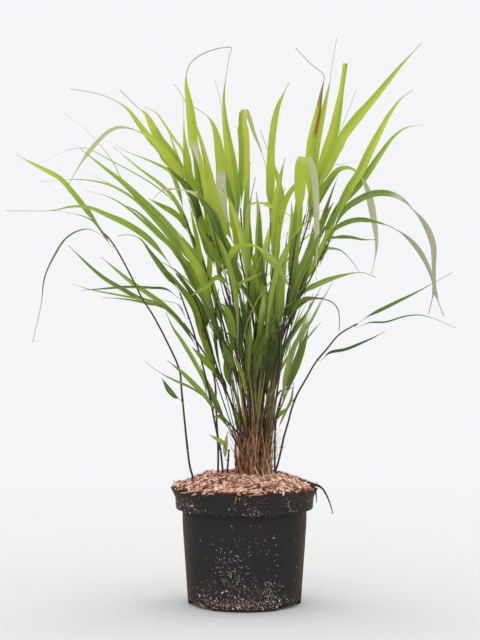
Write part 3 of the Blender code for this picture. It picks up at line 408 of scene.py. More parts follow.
@dataclass(frozen=True)
class BladeFinish(Finish):
    """A leaf blade: lime where light passes, dark inside the clump, sage underneath; the lime and
    the dark are partly painted light and shade in its tone, and its edges have a painted glow.
    """

    shades: tuple[tuple[float, Colour], ...] = (
        (0.0, (0.045, 0.115, 0.048)),
        (0.33, (0.235, 0.365, 0.082)),
        (0.60, (0.445, 0.595, 0.085)),
        (0.90, (0.720, 0.790, 0.125)),
        (1.0, (0.780, 0.765, 0.150)),
    )
    underside: Colour = (0.440, 0.540, 0.230)
    bleached: Colour = (0.790, 0.780, 0.665)
    withered: Colour = (0.330, 0.190, 0.115)
    rusty: Colour = (0.460, 0.170, 0.070)
    # A painted glow of backlit edges, and the paler midrib
    painted_edge_glow_and_midrib: Colour = (0.740, 0.830, 0.160)
    vein: Colour = (0.45, 0.55, 0.40)
    light_through: float = 0.55

    def paint(self, graph: Graph) -> None:
        """Reads the blade's own attributes, and lets light through it.

        Args:
            graph: The material's graph.
        """
        across, off_centre = graph.read("across"), graph.math("ABSOLUTE", graph.read("across"))
        # Painted light and shade: one half of each blade is lighter and the other darker, as the
        # two halves of a fold catch the light
        halves = graph.times(graph.read("split"), graph.fit(across, -0.35, 0.35, -1.0, 1.0))
        tone = graph.plus(graph.read("tone"), graph.cloud(45.0, 0.07))
        colour = graph.ramp(graph.plus(tone, halves), self.shades)
        veins = graph.fibres(9.0, 0.04)
        colour = graph.mix(graph.times(veins, 0.22), colour, self.vein, "MULTIPLY")
        rust = graph.times(graph.read("rust"), across)
        # The first layer paints a bright glow along each blade's edges, as backlight gives; the
        # second is the paler midrib
        for share, layer in (
                (graph.fit(off_centre, 0.80, 1.0, 0.0, 0.55), self.painted_edge_glow_and_midrib),
                (graph.fit(off_centre, 0.02, 0.10, 0.5, 0.0), self.painted_edge_glow_and_midrib),
                (graph.fit(graph.read("side"), -0.2, 0.2, 0.25, 0.0), self.underside),
                (graph.read("pale"), self.bleached),
                (graph.fit(rust, -0.1, 0.9), self.rusty),
                (graph.read("dry"), self.withered)):
            colour = graph.mix(share, colour, layer)
        normal = graph.coat(colour, veins, 0.00003, 0.6)
        through = graph.add("ShaderNodeBsdfTranslucent", {"Color": colour, "Normal": normal})
        graph.cover(through, self.light_through)


@dataclass(frozen=True)
class CulmFinish(Finish):
    """A culm: near-black purple, redder low down, green above, with pale ring nodes."""

    shades: tuple[tuple[float, Colour], ...] = (
        (0.0, (0.150, 0.052, 0.032)),
        (0.3, (0.090, 0.042, 0.028)),
        (0.55, (0.031, 0.020, 0.014)),
        (0.80, (0.145, 0.112, 0.036)),
        (1.0, (0.260, 0.245, 0.065)),
    )
    ring: Colour = (0.420, 0.300, 0.200)
    line: Colour = (0.30, 0.19, 0.12)

    def paint(self, graph: Graph) -> None:
        """Reads the culm's own attributes.

        Args:
            graph: The material's graph.
        """
        tone = graph.plus(graph.read("tone"), graph.cloud(90.0, 0.16))
        lines = graph.fibres(6.0, 0.2)
        colour = graph.mix(graph.times(lines, 0.12), graph.ramp(tone, self.shades), self.line)
        colour = graph.mix(graph.read("pale"), colour, self.ring)
        graph.coat(colour, lines, 0.00004, 0.6)


@dataclass(frozen=True)
class SheathFinish(Finish):
    """An old sheath, a fibre or a dried leaf: dull, red-brown and fibrous."""

    shades: tuple[tuple[float, Colour], ...] = (
        (0.0, (0.034, 0.012, 0.008)),
        (0.35, (0.215, 0.068, 0.032)),
        (0.65, (0.500, 0.215, 0.118)),
        (0.85, (0.800, 0.540, 0.370)),
        (1.0, (0.500, 0.470, 0.170)),
    )
    fibres: float = 9.0

    def paint(self, graph: Graph) -> None:
        """Reads the sheath's own attributes.

        Args:
            graph: The material's graph.
        """
        lines = graph.fibres(self.fibres, 0.35)
        tone = graph.plus(graph.read("tone"), graph.cloud(140.0, 0.14))
        lift = graph.math("MULTIPLY_ADD", lines, 0.16, -0.08)
        colour = graph.ramp(graph.plus(tone, lift), self.shades)
        graph.coat(colour, lines, 0.0003, 0.8)


@dataclass(frozen=True)
class ChipFinish(Finish):
    """Shredded bark: pinkish brown to light beige, with grain along each chip."""

    shades: tuple[tuple[float, Colour], ...] = (
        (0.0, (0.055, 0.016, 0.009)),
        (0.24, (0.320, 0.108, 0.060)),
        (0.54, (0.690, 0.330, 0.215)),
        (0.76, (0.910, 0.620, 0.470)),
        (1.0, (0.960, 0.830, 0.730)),
    )

    def paint(self, graph: Graph) -> None:
        """Reads each chip's shade and its own grain.

        Args:
            graph: The material's graph.
        """
        grain = graph.stretch(graph.read("grain", "Vector"), (1.5, 14.0, 14.0))
        streaks = graph.noise(grain, 2.2, 4.0, 0.65)
        lift = graph.math("MULTIPLY_ADD", streaks, 0.5, -0.25)
        colour = graph.ramp(graph.plus(graph.read("shade"), lift), self.shades)
        graph.coat(colour, streaks, 0.0004, 0.8)


@dataclass(frozen=True)
class MouldFinish(Finish):
    """The dark fines between and under the chips, and the potting soil."""

    dark: Colour = (0.050, 0.020, 0.013)
    light: Colour = (0.260, 0.095, 0.062)
    grain: float = 380.0

    def paint(self, graph: Graph) -> None:
        """Lays crumbs of noise over Object coordinates.

        Args:
            graph: The material's graph.
        """
        crumbs = graph.noise(graph.place(), self.grain, 5.0, 0.7)
        colour = graph.mix(graph.fit(crumbs, 0.42, 0.62), self.dark, self.light)
        graph.coat(colour, crumbs, 0.0016, 0.9)


@dataclass(frozen=True)
class PotFinish(Finish):
    """Black recycled pot plastic, faintly scuffed, with a film of dust low down, and a painted
    warm sheen where it is seen at a glancing angle.
    """

    plastic: Colour = (0.0315, 0.0305, 0.0305)
    dust: Colour = (0.080, 0.056, 0.046)
    scuff: Colour = (0.042, 0.042, 0.043)
    # Painted sheen: a warm colour that stands in for a reflection at the pot's edges
    painted_edge_sheen: Colour = (0.076, 0.040, 0.018)

    def paint(self, graph: Graph) -> None:
        """Lays scuffs over the plastic, dust low down and at the rim, and a painted warm sheen at
        glancing angles.

        Args:
            graph: The material's graph.
        """
        place = graph.place()
        height = graph.parts(place)[2]
        cloud = graph.noise(place, 34.0, 5.0, 0.65)
        fine = graph.noise(place, 900.0, 2.0, 0.5)
        scratches = graph.noise(graph.stretch(place, (240.0, 240.0, 18.0)), 1.0, 4.0, 0.6)
        low = graph.fit(height, 0.0, 0.055, 0.42, 0.0)
        rim = graph.fit(height, 0.128, 0.150, 0.0, 0.22)
        film = graph.times(graph.plus(low, rim), graph.fit(cloud, 0.42, 0.66))
        scuffed = graph.fit(scratches, 0.60, 0.78, 0.0, 0.5)
        colour = graph.mix(scuffed, self.plastic, self.scuff)
        colour = graph.mix(film, colour, self.dust)
        # Painted sheen: the warm colour is mixed in where the surface is seen at a glancing angle
        glancing = graph.add("ShaderNodeLayerWeight", {"Blend": 0.5}).outputs["Facing"]
        colour = graph.mix(graph.fit(glancing, 0.35, 1.0, 0.0, 0.8), colour, self.painted_edge_sheen)
        worn = graph.fit(cloud, 0.35, 0.70, 0.40, 0.56)
        rough = graph.plus(worn, graph.times(film, 0.5))
        graph.link(rough, graph.shader.inputs["Roughness"])
        graph.coat(colour, graph.plus(graph.times(fine, 0.4), scratches), 0.00006, 0.7)


@dataclass(frozen=True)
class StudioFinish(Finish):
    """The plain pale paper of the studio floor, which fades into the bright air."""

    paper: Colour = (0.66, 0.65, 0.64)
    air: Colour = (0.90, 0.915, 0.935)
    fade: Pair = (0.25, 1.5)

    def paint(self, graph: Graph) -> None:
        """Mottles the paper a trace, and lets it fade into the air far off.

        Args:
            graph: The material's graph.
        """
        place = graph.place()
        shade = tuple(0.97 * part for part in self.paper)
        colour = graph.mix(graph.noise(place, 3.0, 2.0), self.paper, shade)
        graph.link(colour, graph.shader.inputs["Base Color"])
        reach = graph.add("ShaderNodeVectorMath", {0: place}, operation="LENGTH")
        share = graph.fit(reach.outputs["Value"], *self.fade)
        graph.cover(graph.add("ShaderNodeEmission", {"Color": four(self.air)}), share)


# Traced shoots


@dataclass(frozen=True)
class BladeTrace:
    """One blade as it was traced.

    face and turn say how it is turned near the stem and near the tip, in degrees, and
    path gives x and z from the stem to the tip. lean is how far the tip lies in depth
    from the stem, and fold the number of the point at which the blade folds over. A
    thread is a tip drawn out fine, which begins at the share thin of the length, or at
    the usual place for 0. foot is the share by which the blade has its full width, and
    tone how much lighter than usual it is, partly the blade's own colour and partly
    painted shade on blades that lie in shadow. An added blade is one too many for the
    solids. The other fields are stretches of the blade that look different: start, end
    and value of each, in shares of the length. The stretches that make one half of a
    blade darker than the other are painted shade of a fold.
    """

    width: float
    face: float
    turn: float
    path: Path = ()
    lean: float = 0.0
    fold: int | None = None
    thread: bool = False
    thin: float = 0.0
    foot: float = 0.24
    tone: float = 0.0
    added: bool = False
    narrow: Stretches = ()
    blunt: Stretches = ()
    pale: Stretches = ()
    dry: Stretches = ()
    rust: Stretches = ()
    lighter: Stretches = ()
    # Painted shade: one half of a folded blade darker than the other
    split: Stretches = ()

    def thin_from(self) -> float:
        """The share of the length from which the blade is drawn out fine."""
        drawn_out = (self.thin or 0.82) - 0.05 if self.thread else 0.9
        return 1.0 if self.blunt else drawn_out


@dataclass(frozen=True)
class ShootTrace:
    """One shoot as it was traced: the culm's depths and points, and its blades."""

    name: str
    foot_y: float
    top_y: float
    culm: Path
    leaves: tuple[BladeTrace, ...]
    on_mulch: bool = False

    def points(self) -> list[Vector]:
        """The culm's points in depth, as the part's source sets them.

        Returns:
            The points, from the foot to the top.
        """
        start = self.culm[0][1]
        rise = self.culm[-1][1] - start
        points = []
        for x, z in self.culm:
            share = (z - start) / rise
            depth = self.foot_y + (self.top_y - self.foot_y) * share ** 1.25
            points.append(seen_at(x, z, depth))
        foot = points[0]
        foot.z = CROWN_TOP + GAP
        if self.on_mulch:
            foot.z = mulch_height(math.hypot(foot.x, foot.y)) + 2 * GAP
        return points


def walked(steps: Sequence[float]) -> Path:
    """The points of a path, from x and z of the first and the steps to the others."""
    return tuple(zip(accumulate(steps[::2]), accumulate(steps[1::2])))


def leaf(width: float, face: float, turn: float, lean: float, *path: float,
         **more: object) -> BladeTrace:
    """Makes a blade's trace from a row of the table.

    Args:
        width: The blade's width.
        face: How it is turned near the stem, in degrees.
        turn: How it is turned near the tip, in degrees.
        lean: How far the tip lies in depth from the stem.
        path: x and z where it leaves the stem, and the steps from point to point.
        more: Other fields of the trace.

    Returns:
        The trace.
    """
    return BladeTrace(width, face, turn, walked(path), lean, **more)


def shoot(name: str, foot_y: float, top_y: float, culm: Sequence[float],
          *leaves: BladeTrace, on_mulch: bool = False) -> ShootTrace:
    """Makes a shoot's trace from a row of the table.

    Args:
        name: The CAD node's name, without its first word.
        foot_y: Depth of the culm's foot.
        top_y: Depth of the culm's top.
        culm: x and z of the culm's foot, and the steps from point to point.
        leaves: The blades.
        on_mulch: Whether the shoot rises from the mulch and not from the crown.

    Returns:
        The trace.
    """
    return ShootTrace(f"shoot_{name}", foot_y, top_y, walked(culm), leaves, on_mulch)


SHOOTS = (
    shoot(
        "far_left", -10, -45,
        (-67, 163, -4, 17, -4, 35, -3, 30, -3, 30, -3, 27, -16, 36, -18, 34, -13, 20, -19, 38, -18,
         32, -12, 14),
        leaf(8, 35, 50, -20, -180, 476, -12, 16, -11, 14, -19, 24, -16, 17, -24, 13, -31, 17,
             thread=True, thin=0.95, tone=0.14, blunt=(0.45, 0.85, 0.45)),
        leaf(5, 75, 75, -45, -174, 469, -21, 11, -15, 0, -18, -10, -14, -20, -14, -30, -5, -35,
             -11, -49, thread=True, dry=(0.35, 1, 0.3)),
        leaf(5, 60, 60, 30, -165, 457, -25, 30, -15, 10, -23, 6, -18, 2, thread=True),
        leaf(7, 20, 20, -8, -80, 262, -10, 5, -8, 9, -8, 14),
        on_mulch=True,
    ),
    shoot(
        "left_fan", 6, 30,
        (-34, 171, 0, 29, -2, 40, -2, 45, -8, 27, -16, 26, -16, 23),
        leaf(8, 45, 45, 20, -78, 361, -17, 15, -20, 10, -20, 6, -20, 11, -25, 15, -20, 17, -26, 26,
             tone=0.16),
        leaf(8, 40, 40, 55, -70, 350, -22, 22, -16, 15, -17, 12, -15, 10, -20, 16, -24, 21,
             tone=0.16),
        leaf(8, 120, 120, -39, -63, 340, -32, 34, -17, 11, -23, 6, -30, 6, -30, 6, -26, 8,
             tone=0.18),
        leaf(6, 50, 70, -50, -55, 328, -30, 38, -20, 16, -20, 4, -25, 5, -32, 3, tone=0.18),
        on_mulch=True,
    ),
    shoot(
        "left_dark", -10, -50,
        (-28, 172, -3, 26, -7, 34, -5, 26, -7, 34, -8, 30, -8, 30, -9, 26, -8, 22),
        leaf(8, 30, 60, -30, -83, 400, -9, 13, -13, 17, -15, 20, -13, 18, -14, 6, -15, -1,
             thread=True),
        leaf(5, 75, 75, -60, -80, 392, -20, 12, -20, 2, -30, 1, -30, -2, -30, -2),
        leaf(4, 70, 70, 40, -71, 366, -14, 18, -15, 5, -18, 4, -17, 5),
        leaf(6, 35, 35, -62, -43, 258, -9, 27, -13, 27, -15, 25, -12, 18, -9, 20, tone=0.25),
        on_mulch=True,
    ),
    shoot(
        "left_thin", -15, -35,
        (-5, 218, -13, 12, -12, 13, -13, 14),
        leaf(6, 65, 65, -25, -43, 257, -12, 11, -15, 10, -20, 9, -20, 11, -18, 14, thread=True,
             tone=0.28),
        leaf(7, 30, 30, -19, -32, 245, -18, 21, -14, 15, -16, 16, -19, 16, tone=0.22),
        leaf(6, 40, 40, -19, -19, 231, -12, 9, -11, 0),
    ),
    shoot(
        "left_wide", -8, -75,
        (-2, 218, -10, 27, -12, 30, -10, 25, -8, 25, -8, 25, -6, 22, -6, 16, -13, 19, -13, 18),
        leaf(9, 35, 60, -20, -88, 425, -17, 23, -20, 22, -25, 17, -28, 13, -22, 9, -22, 1, -28, -5,
             -56, 0, thread=True, tone=0.08),
        leaf(11, 20, 50, -35, -38, 312, -12, 23, -7, 23, -6, 20, -9, 15, -12, 15, -13, 17, -12, 8,
             tone=-0.15),
        leaf(9, 40, 40, -30, -30, 290, -12, 13, -10, 10, -8, 9, -8, 9),
        leaf(9, 30, 30, -20, -48, 343, -2, 42, -20, 35, -20, 37, added=True),
        leaf(8, 30, 40, 20, -50, 350, -6, 30, -16, 25, -18, 27, added=True),
        leaf(9, 25, 25, -22, -5, 226, -5, 14, -3, 8, 3, 8, tone=-0.25, added=True),
        leaf(12, 20, 20, -30, -32, 295, -11, 20, -10, 35, -7, 42, added=True),
        leaf(8, 30, 30, 10, -20, 262, -7, 21, -13, 19, -12, 22, added=True),
    ),
    shoot(
        "left_broad", -4, -95,
        (2, 218, -10, 42, -12, 40, -10, 40, -8, 32, -7, 28),
        leaf(14, 15, 45, -25, -45, 400, -7, 25, -16, 22, -17, 21, -20, 24, -25, 24, -25, 24, -25,
             20, -31, 25, narrow=(0.3, 1, 0.28), split=(0, 1, 0.1)),
        leaf(5, 55, 70, 70, -40, 380, -35, 75, -30, 33, -30, 30, -23, 28, -10, 20, -17, 23, -22,
             23, -25, 18, thin=0.97, narrow=(0, 0.7, 0.35)),
        leaf(12, 20, 40, 1, -34, 356, -10, 20, -8, 22, -10, 22, -10, 16, -12, 16),
        leaf(11, 25, 35, -45, -41, 385, -7, 20, -12, 25, -15, 25, -15, 27, added=True),
        leaf(7, 30, 30, -50, -24, 318, -8, 27, -14, 30, -14, 27, added=True),
        leaf(9, 25, 25, -30, -12, 275, -12, 25, 4, 25, 10, 29, added=True),
    ),
    shoot(
        "left_upper", 4, 20,
        (5, 218, -7, 42, -12, 50, -12, 45, -12, 40, -9, 25, -8, 26, -8, 16, -9, 22, -6, 16),
        leaf(7, 40, 60, 30, -78, 500, -4, 20, -6, 20, -7, 14, -15, 9, -20, 9, -20, 8, -15, 10,
             thin=0.97),
        leaf(5, 70, 80, -20, -75, 493, -9, 15, -16, 17, -20, 15, -25, 15, -25, 13, -28, 15, -15, 2,
             -22, -6, -28, -14, thread=True, thin=0.9),
        leaf(8, 30, 30, -30, -69, 476, -11, 16, -12, 11, -14, 8, -16, 9),
        leaf(7, 40, 50, 60, -62, 460, -14, 32, -16, 30, -18, 18, -24, 18, -19, 16, -15, 13,
             thin=0.97),
        leaf(12, 25, 25, 70, -40, 400, -10, 15, -6, 20, -6, 23, -8, 22, tone=-0.3),
        leaf(8, 30, 30, 10, -42, 405, -3, 50, -6, 25, -9, 42, added=True),
        leaf(7, 30, 40, -20, -50, 430, -10, 32, -6, 28, -4, 22, added=True),
        leaf(9, 25, 25, 30, -26, 355, -8, 25, -6, 25, -6, 27, tone=-0.25, added=True),
    ),
    shoot(
        "left_inner", 12, 55,
        (0, 218, -8, 37, -12, 45, -12, 45, -12, 35, -14, 30, -12, 15, -8, 13),
        leaf(6, 30, 40, 20, -78, 438, -14, 19, -16, 18, -17, 17, -15, 13, -20, 10, thin=0.97),
        leaf(6, 45, 60, 60, -68, 422, -24, 33, -18, 17, -20, 19, -20, 17, -25, 15, -30, 8,
             thin=0.97),
        leaf(7, 50, 70, -51, -60, 412, -25, 40, -15, 22, -20, 24, -20, 20, -25, 16, -25, 8, -30, 3,
             -42, -3, thread=True, thin=0.9),
        leaf(6, 40, 60, 110, -50, 395, -40, 67, -25, 31, -25, 26, -30, 19, -33, 16, thin=0.97),
    ),
    shoot(
        "top_left", 0, -30,
        (8, 218, -4, 52, -10, 60, -14, 60, -16, 50, -16, 45, -14, 35, -8, 20),
        leaf(12, 20, 35, 30, -74, 540, -10, 22, -14, 20, -12, 15, -9, 17, -8, 15, -11, 9, -22, 22,
             thread=True, thin=0.77, lighter=(0.55, 0.76, 0.16)),
        leaf(14, 15, 50, -37, -68, 525, -17, 30, -15, 18, -12, 15, -13, 14, -12, 16, -13, 17, -18,
             12, -22, 8, -33, 6, thread=True, thin=0.74, narrow=(0.32, 1, 0.3, 0.44, 1, 0.12)),
        leaf(8, 40, 185, -80, -60, 505, -25, 45, -15, 20, -15, 20, -17, 14, -23, 7, -17, -4, -16,
             -14, -15, -18, -15, -23, -8, -15, thin=0.96, pale=(0.5, 0.9, 0.6),
             blunt=(0.55, 0.85, 0.7)),
        leaf(10, 30, 30, -60, -50, 480, -12, 32, -10, 21, -13, 14, -14, 14, tone=-0.2),
        leaf(12, 20, 20, 40, -34, 435, -12, 20, -8, 25, -8, 22, -11, 19, tone=-0.3),
        leaf(10, 25, 30, -30, -44, 462, -12, 30, -10, 28, -18, 28, tone=-0.1, added=True),
        leaf(9, 20, 30, -50, -28, 415, -6, 25, -12, 22, -10, 24, tone=-0.3, added=True),
    ),
    shoot(
        "top_left_back", 10, 70,
        (10, 218, -2, 62, -8, 60, -12, 60, -16, 50, -17, 45, -13, 30, -10, 23),
        leaf(8, 50, 50, 20, -68, 548, -7, 17, -5, 17, -12, 17, -11, 17, -11, 15, -14, 6,
             narrow=(0, 1, 0.3)),
        leaf(5, 50, 50, 60, -63, 537, -20, 30, -7, 18, -6, 18, -5, 10),
        leaf(13, 20, 60, -30, -55, 518, -11, 17, -6, 15, -2, 16, -2, 17, -2, 22, 0, 20, -1, 25,
             thread=True),
        leaf(12, 30, 30, 60, -35, 468, -15, 12, -10, 18, -6, 17, -4, 15, tone=-0.3),
        leaf(10, 25, 25, 50, -22, 432, -12, 23, -10, 25, -8, 28, tone=-0.3, added=True),
    ),
    shoot(
        "tall_left", -8, -45,
        (12, 218, -1, 72, -7, 60, -10, 50, -12, 45, -12, 35, -10, 25),
        leaf(13, 25, 30, 30, -40, 505, -8, 22, -8, 23, -6, 22, -4, 18, -2, 25, -3, 25, -4, 28, 2,
             17, 7, 12, 14, 9, 17, 6, 18, 2, thread=True, thin=0.72, tone=0.1,
             pale=(0.11, 0.35, 0.85), narrow=(0.11, 0.33, 0.3)),
        leaf(10, 35, 50, 60, -28, 475, -9, 40, -7, 30, -6, 25, -5, 20, -7, 22, -10, 24, -8, 16,
             -10, 15, thread=True),
        leaf(9, 30, 150, -81, -24, 464, -12, 31, -10, 15, -14, 13, -15, 7, -17, 2, -14, -2, -12,
             -12, -8, -14, pale=(0.5, 1, 0.8)),
        leaf(14, 15, 25, -60, -14, 432, -14, 23, -6, 21, -7, 21, -11, 18, -10, 13, tone=-0.15),
        leaf(15, 15, 20, -25, -22, 455, -8, 25, -6, 25, -8, 30, -8, 37, lighter=(0.45, 0.75, 0.07),
             added=True),
        leaf(11, 20, 30, -70, -10, 415, -16, 25, -12, 35, -10, 45, -8, 40, -4, 32, tone=-0.08,
             added=True),
        leaf(9, 20, 20, -10, -38, 498, -14, 17, -6, 20, -4, 25, -5, 25, added=True),
        leaf(10, 20, 25, -40, -4, 395, -12, 30, -10, 25, -14, 32, tone=-0.25, added=True),
    ),
    shoot(
        "tall_middle", 10, 30,
        (14, 218, 4, 62, -4, 60, -8, 50, -8, 40, -6, 30, -2, 18),
        leaf(15, 30, 50, 30, -10, 478, 0, 27, -3, 30, -4, 30, -5, 30, -4, 30, -1, 25, 3, 25, 4, 25,
             4, 14, thread=True),
        leaf(16, 15, 30, -40, -7, 455, -11, 15, -8, 15, -4, 20, -1, 25, 0, 25, -3, 30, -5, 25, -7,
             14, -10, 8, -10, 6, thread=True, thin=0.9, tone=0.12, pale=(0.2, 0.525, 0.85)),
        leaf(5, 50, 60, 100, -2, 432, -13, 68, -7, 50, -5, 50, -3, 40, -8, 32, thread=True),
        leaf(14, 20, 20, -49, 4, 400, -16, 25, -8, 25, -8, 22, -3, 23, tone=-0.2),
        leaf(9, 25, 25, -25, -7, 450, -5, 25, -5, 25, -3, 24, added=True),
        leaf(9, 25, 25, -20, -9, 472, -5, 28, -6, 30, -5, 32, tone=-0.15, added=True),
        leaf(14, 15, 20, -70, 17, 300, 1, 35, 2, 25, -2, 44, added=True),
        leaf(10, 25, 30, -20, 17, 262, -9, 28, 8, 30, 9, 34, added=True),
    ),
    shoot(
        "centre", -16, -20,
        (16, 218, 2, 62, -4, 60, -6, 50, -5, 35, -3, 20, -2, 23, -2, 22, -1, 18),
        leaf(15, 20, 20, 0, -5, 508, 3, 22, 2, 30, 0, 30, -2, 28, 2, 16, 5, -8, 7, -22, 8, -19, 7,
             -23, 1, -14, fold=5, thread=True, thin=0.9, foot=0.12, tone=0.05, pale=(0.6, 1, 0.5),
             blunt=(0.3, 0.6, 0.85), split=(0, 0.58, 0.12), narrow=(0.46, 1, 0.25, 0.57, 1, 0.33)),
        leaf(8, 40, 120, -40, -3, 480, 8, 30, 15, 5, 15, -5, 15, -7, 12, -8, 4, -13, thin=0.96,
             narrow=(0, 0.52, 0.65), pale=(0, 0.45, 0.6)),
        leaf(8, 20, 20, 30, 2, 432, 6, 18, -2, 20, -1, 25, 3, 25, 6, 28, thread=True),
        leaf(7, 20, 20, -30, 6, 405, 0, 25, -4, 32, 2, 33, 2, 27, added=True),
        leaf(14, 15, 15, -45, 10, 372, 2, 28, 3, 30, -1, 28, added=True),
        leaf(10, 15, 20, -35, 17, 262, -8, 23, -4, 65, 0, 52, added=True),
        leaf(9, 20, 30, -55, 18, 275, -6, 25, 3, 30, 13, 54, added=True),
        leaf(8, 20, 20, -85, 18, 330, 3, 28, 3, 27, 3, 24, tone=0.4, blunt=(0.8, 1, 0.45),
             dry=(0.86, 1, 0.5), added=True),
        leaf(4, 50, 60, -20, 9, 378, 7, 5, 8, 0, 7, -4, pale=(0, 1, 0.5), added=True),
    ),
    shoot(
        "front_arch", -20, -95,
        (4, 218, -7, 42, -5, 50, -4, 50, -4, 40, -3, 25),
        leaf(12, 30, 140, -35, -19, 425, 0, 20, 7, 13, 12, 4, 14, -1, 12, -8, 12, -15, 12, -18, 10,
             -16, lighter=(0.1, 0.55, 0.2)),
        leaf(7, 35, 60, -45, -17, 412, -18, 8, -12, -9, -13, -9, -12, -8),
        leaf(4, 30, 30, -50, -15, 390, 9, 21, 11, 6, 18, 9),
        leaf(11, 25, 30, -47, -9, 330, -7, 15, -2, 17, -6, 18, -9, 8),
        leaf(10, 25, 40, -25, -6, 300, -12, 12, -7, 13, -4, 15),
        leaf(8, 30, 30, -20, -8, 325, 4, 20, -2, 20, -14, 25, added=True),
        leaf(8, 25, 25, -30, -4, 265, 4, 25, -8, 18, -7, 16, added=True),
    ),
    shoot(
        "upright_right", 14, 45,
        (20, 218, 6, 62, 4, 60, 4, 50, 2, 40, -1, 35, -2, 25),
        leaf(11, 25, 40, 20, 33, 490, -1, 25, 0, 30, 1, 30, 2, 25, 3, 22, 5, 18, 7, 15, 7, 14,
             thread=True, thin=0.95, tone=0.2),
        leaf(8, 35, 60, 55, 35, 462, 10, 28, 4, 22, -3, 23, -5, 18, -7, 19, -7, 18, -7, 18,
             thread=True, thin=0.8),
        leaf(9, 30, 30, -40, 36, 440, 8, 40, 5, 25, 6, 17, 9, 14, 12, 10, 14, 6),
        leaf(11, 25, 25, 50, 33, 380, -9, 30, -5, 30, -1, 30, 0, 30, -3, 30),
        leaf(8, 25, 25, -30, 33, 380, -9, 35, -4, 35, -1, 62, added=True),
        leaf(10, 20, 20, -60, 35, 400, 3, 30, 4, 30, 3, 37, added=True),
        leaf(16, 15, 20, -40, 24, 260, 4, 25, 7, 45, 3, 64, tone=-0.12, added=True),
        leaf(10, 20, 25, -20, 24, 262, 3, 28, 3, 25, 3, 29, added=True),
        leaf(9, 15, 20, -60, 32, 365, -5, 20, -3, 15, -2, 18, tone=0.2, added=True),
    ),
    shoot(
        "folded_right", -14, -85,
        (27, 218, 7, 52, 8, 50, 8, 45, 6, 35, 4, 25, 4, 30, 3, 20),
        leaf(16, 28, 28, 0, 67, 475, 4, 35, 1, 30, 1, 22, 5, 12, 7, -12, 4, -20, 2, -27, 1, -35, 0,
             -35, 0, -29, fold=4, thin=0.97, pale=(0.38, 1, 0.85), narrow=(0.4, 1, 0.25),
             blunt=(0.4, 0.85, 0.75)),
        leaf(13, 20, 20, -23, 52, 372, 10, 28, 8, 22, 10, 20, 10, 20, 9, 18, tone=-0.42),
        leaf(14, 25, 40, -40, 44, 330, -6, 20, -2, 22, 2, 23, 8, 25, 6, 25),
        leaf(13, 25, 25, 10, 57, 402, 6, 38, 6, 60, 5, 62, tone=-0.3, added=True),
        leaf(12, 20, 20, -45, 47, 350, -2, 35, 1, 25, 4, 30, 10, 32, added=True),
    ),
    shoot(
        "top_right", -6, 5,
        (30, 218, 6, 52, 8, 50, 8, 45, 6, 30, 5, 30, 5, 20, 5, 17, 7, 23, 7, 25),
        leaf(16, 20, 30, -25, 87, 510, 5, 20, 10, 23, 13, 27, 15, 25, 20, 25, 22, 26, 26, 32, 28,
             31, thin=0.97, narrow=(0.36, 1, 0.2, 0.55, 1, 0.12), split=(0, 1, 0.1)),
        leaf(12, 20, 40, -55, 84, 499, -1, 31, -1, 30, 2, 30, 4, 20, 5, 22, 5, 26, 4, 19, -7, 7,
             -13, 11, -17, 18, thread=True, thin=0.77, rust=(0.45, 0.755, 1), dry=(0.62, 1, 0.4)),
        leaf(14, 15, 15, 77, 78, 480, 12, 45, 8, 27, 8, 30, 8, 23, 6, 30, 5, 30, 4, 28, tone=0.12,
             blunt=(0.8, 1, 0.45), split=(0, 1, -0.12)),
        leaf(12, 20, 40, 71, 60, 408, 4, 27, -2, 27, 0, 26, -2, 27),
    ),
    shoot(
        "top_right_back", 8, 60,
        (26, 218, 8, 62, 10, 55, 10, 50, 8, 45, 8, 40, 8, 30),
        leaf(12, 30, 60, -20, 78, 500, 7, 30, 4, 28, 3, 27, 5, 27, 6, 26, 5, 24, 4, 28, 6, 36,
             thread=True, thin=0.78, tone=0.1),
        leaf(4, 60, 60, 30, 75, 488, 15, 52, 14, 35, 15, 27, 11, 23, 13, 35, thread=True),
        leaf(12, 30, 200, -40, 70, 468, 18, 37, 9, 17, 11, 19, 12, 15, 13, 3, 12, -7, 10, -17, 7,
             -23, 6, -32, 1, -25, -6, -30, thin=0.96, pale=(0.5, 1, 0.7), blunt=(0.4, 0.7, 0.55)),
        leaf(4, 70, 70, 82, 72, 476, 12, 36, 13, 34, 13, 15, 18, 4, 20, 3),
    ),
    shoot(
        "right_black", -12, -50,
        (35, 218, 1, 42, 3, 40, 8, 35, 10, 29, 13, 28, 14, 25, 11, 23, 9, 17, 8, 17),
        leaf(12, 25, 40, 10, 112, 474, 6, 23, 8, 18, 10, 20, 12, 18, 10, 22, 12, 24, 15, 28, 15,
             21, 15, 11, thin=0.97),
        leaf(9.5, 35, 222, -45, 107, 463, 11, 25, 12, 19, 15, 11, 18, 8, 19, 1, 18, -7, 18, -17,
             15, -20, 9, -23, 1, -30, 1, -25, 6, -20, 6, -15, thin=0.97, tone=-0.15,
             pale=(0.4, 0.95, 0.75), dry=(0.44, 1, 0.22), blunt=(0.44, 0.92, 0.55)),
        leaf(8, 35, 172, 50, 100, 450, 12, 26, 13, 11, 20, 6, 25, -3, 25, -10, 21, -17, 14, -19, 9,
             -20, 4, -19, -7, -33, thin=0.97, tone=-0.15, narrow=(0.35, 0.46, 0.4),
             pale=(0.42, 0.95, 0.6), dry=(0.46, 1, 0.12), blunt=(0.44, 0.9, 0.5)),
        leaf(5, 55, 80, -82, 96, 442, 10, 25, 12, 4, 17, 0, 17, -3, 16, 0, tone=-0.15,
             narrow=(0.2, 0.5, 0.35)),
        leaf(7, 45, 60, 25, 92, 434, 11, 20, 10, 2, 11, -3, 12, -11, 10, -14, 6, -10, tone=-0.15),
        leaf(8, 40, 60, -30, 70, 392, 10, 11, 13, 7, 17, 7, 20, 6, 20, 3, 18, -6, thread=True,
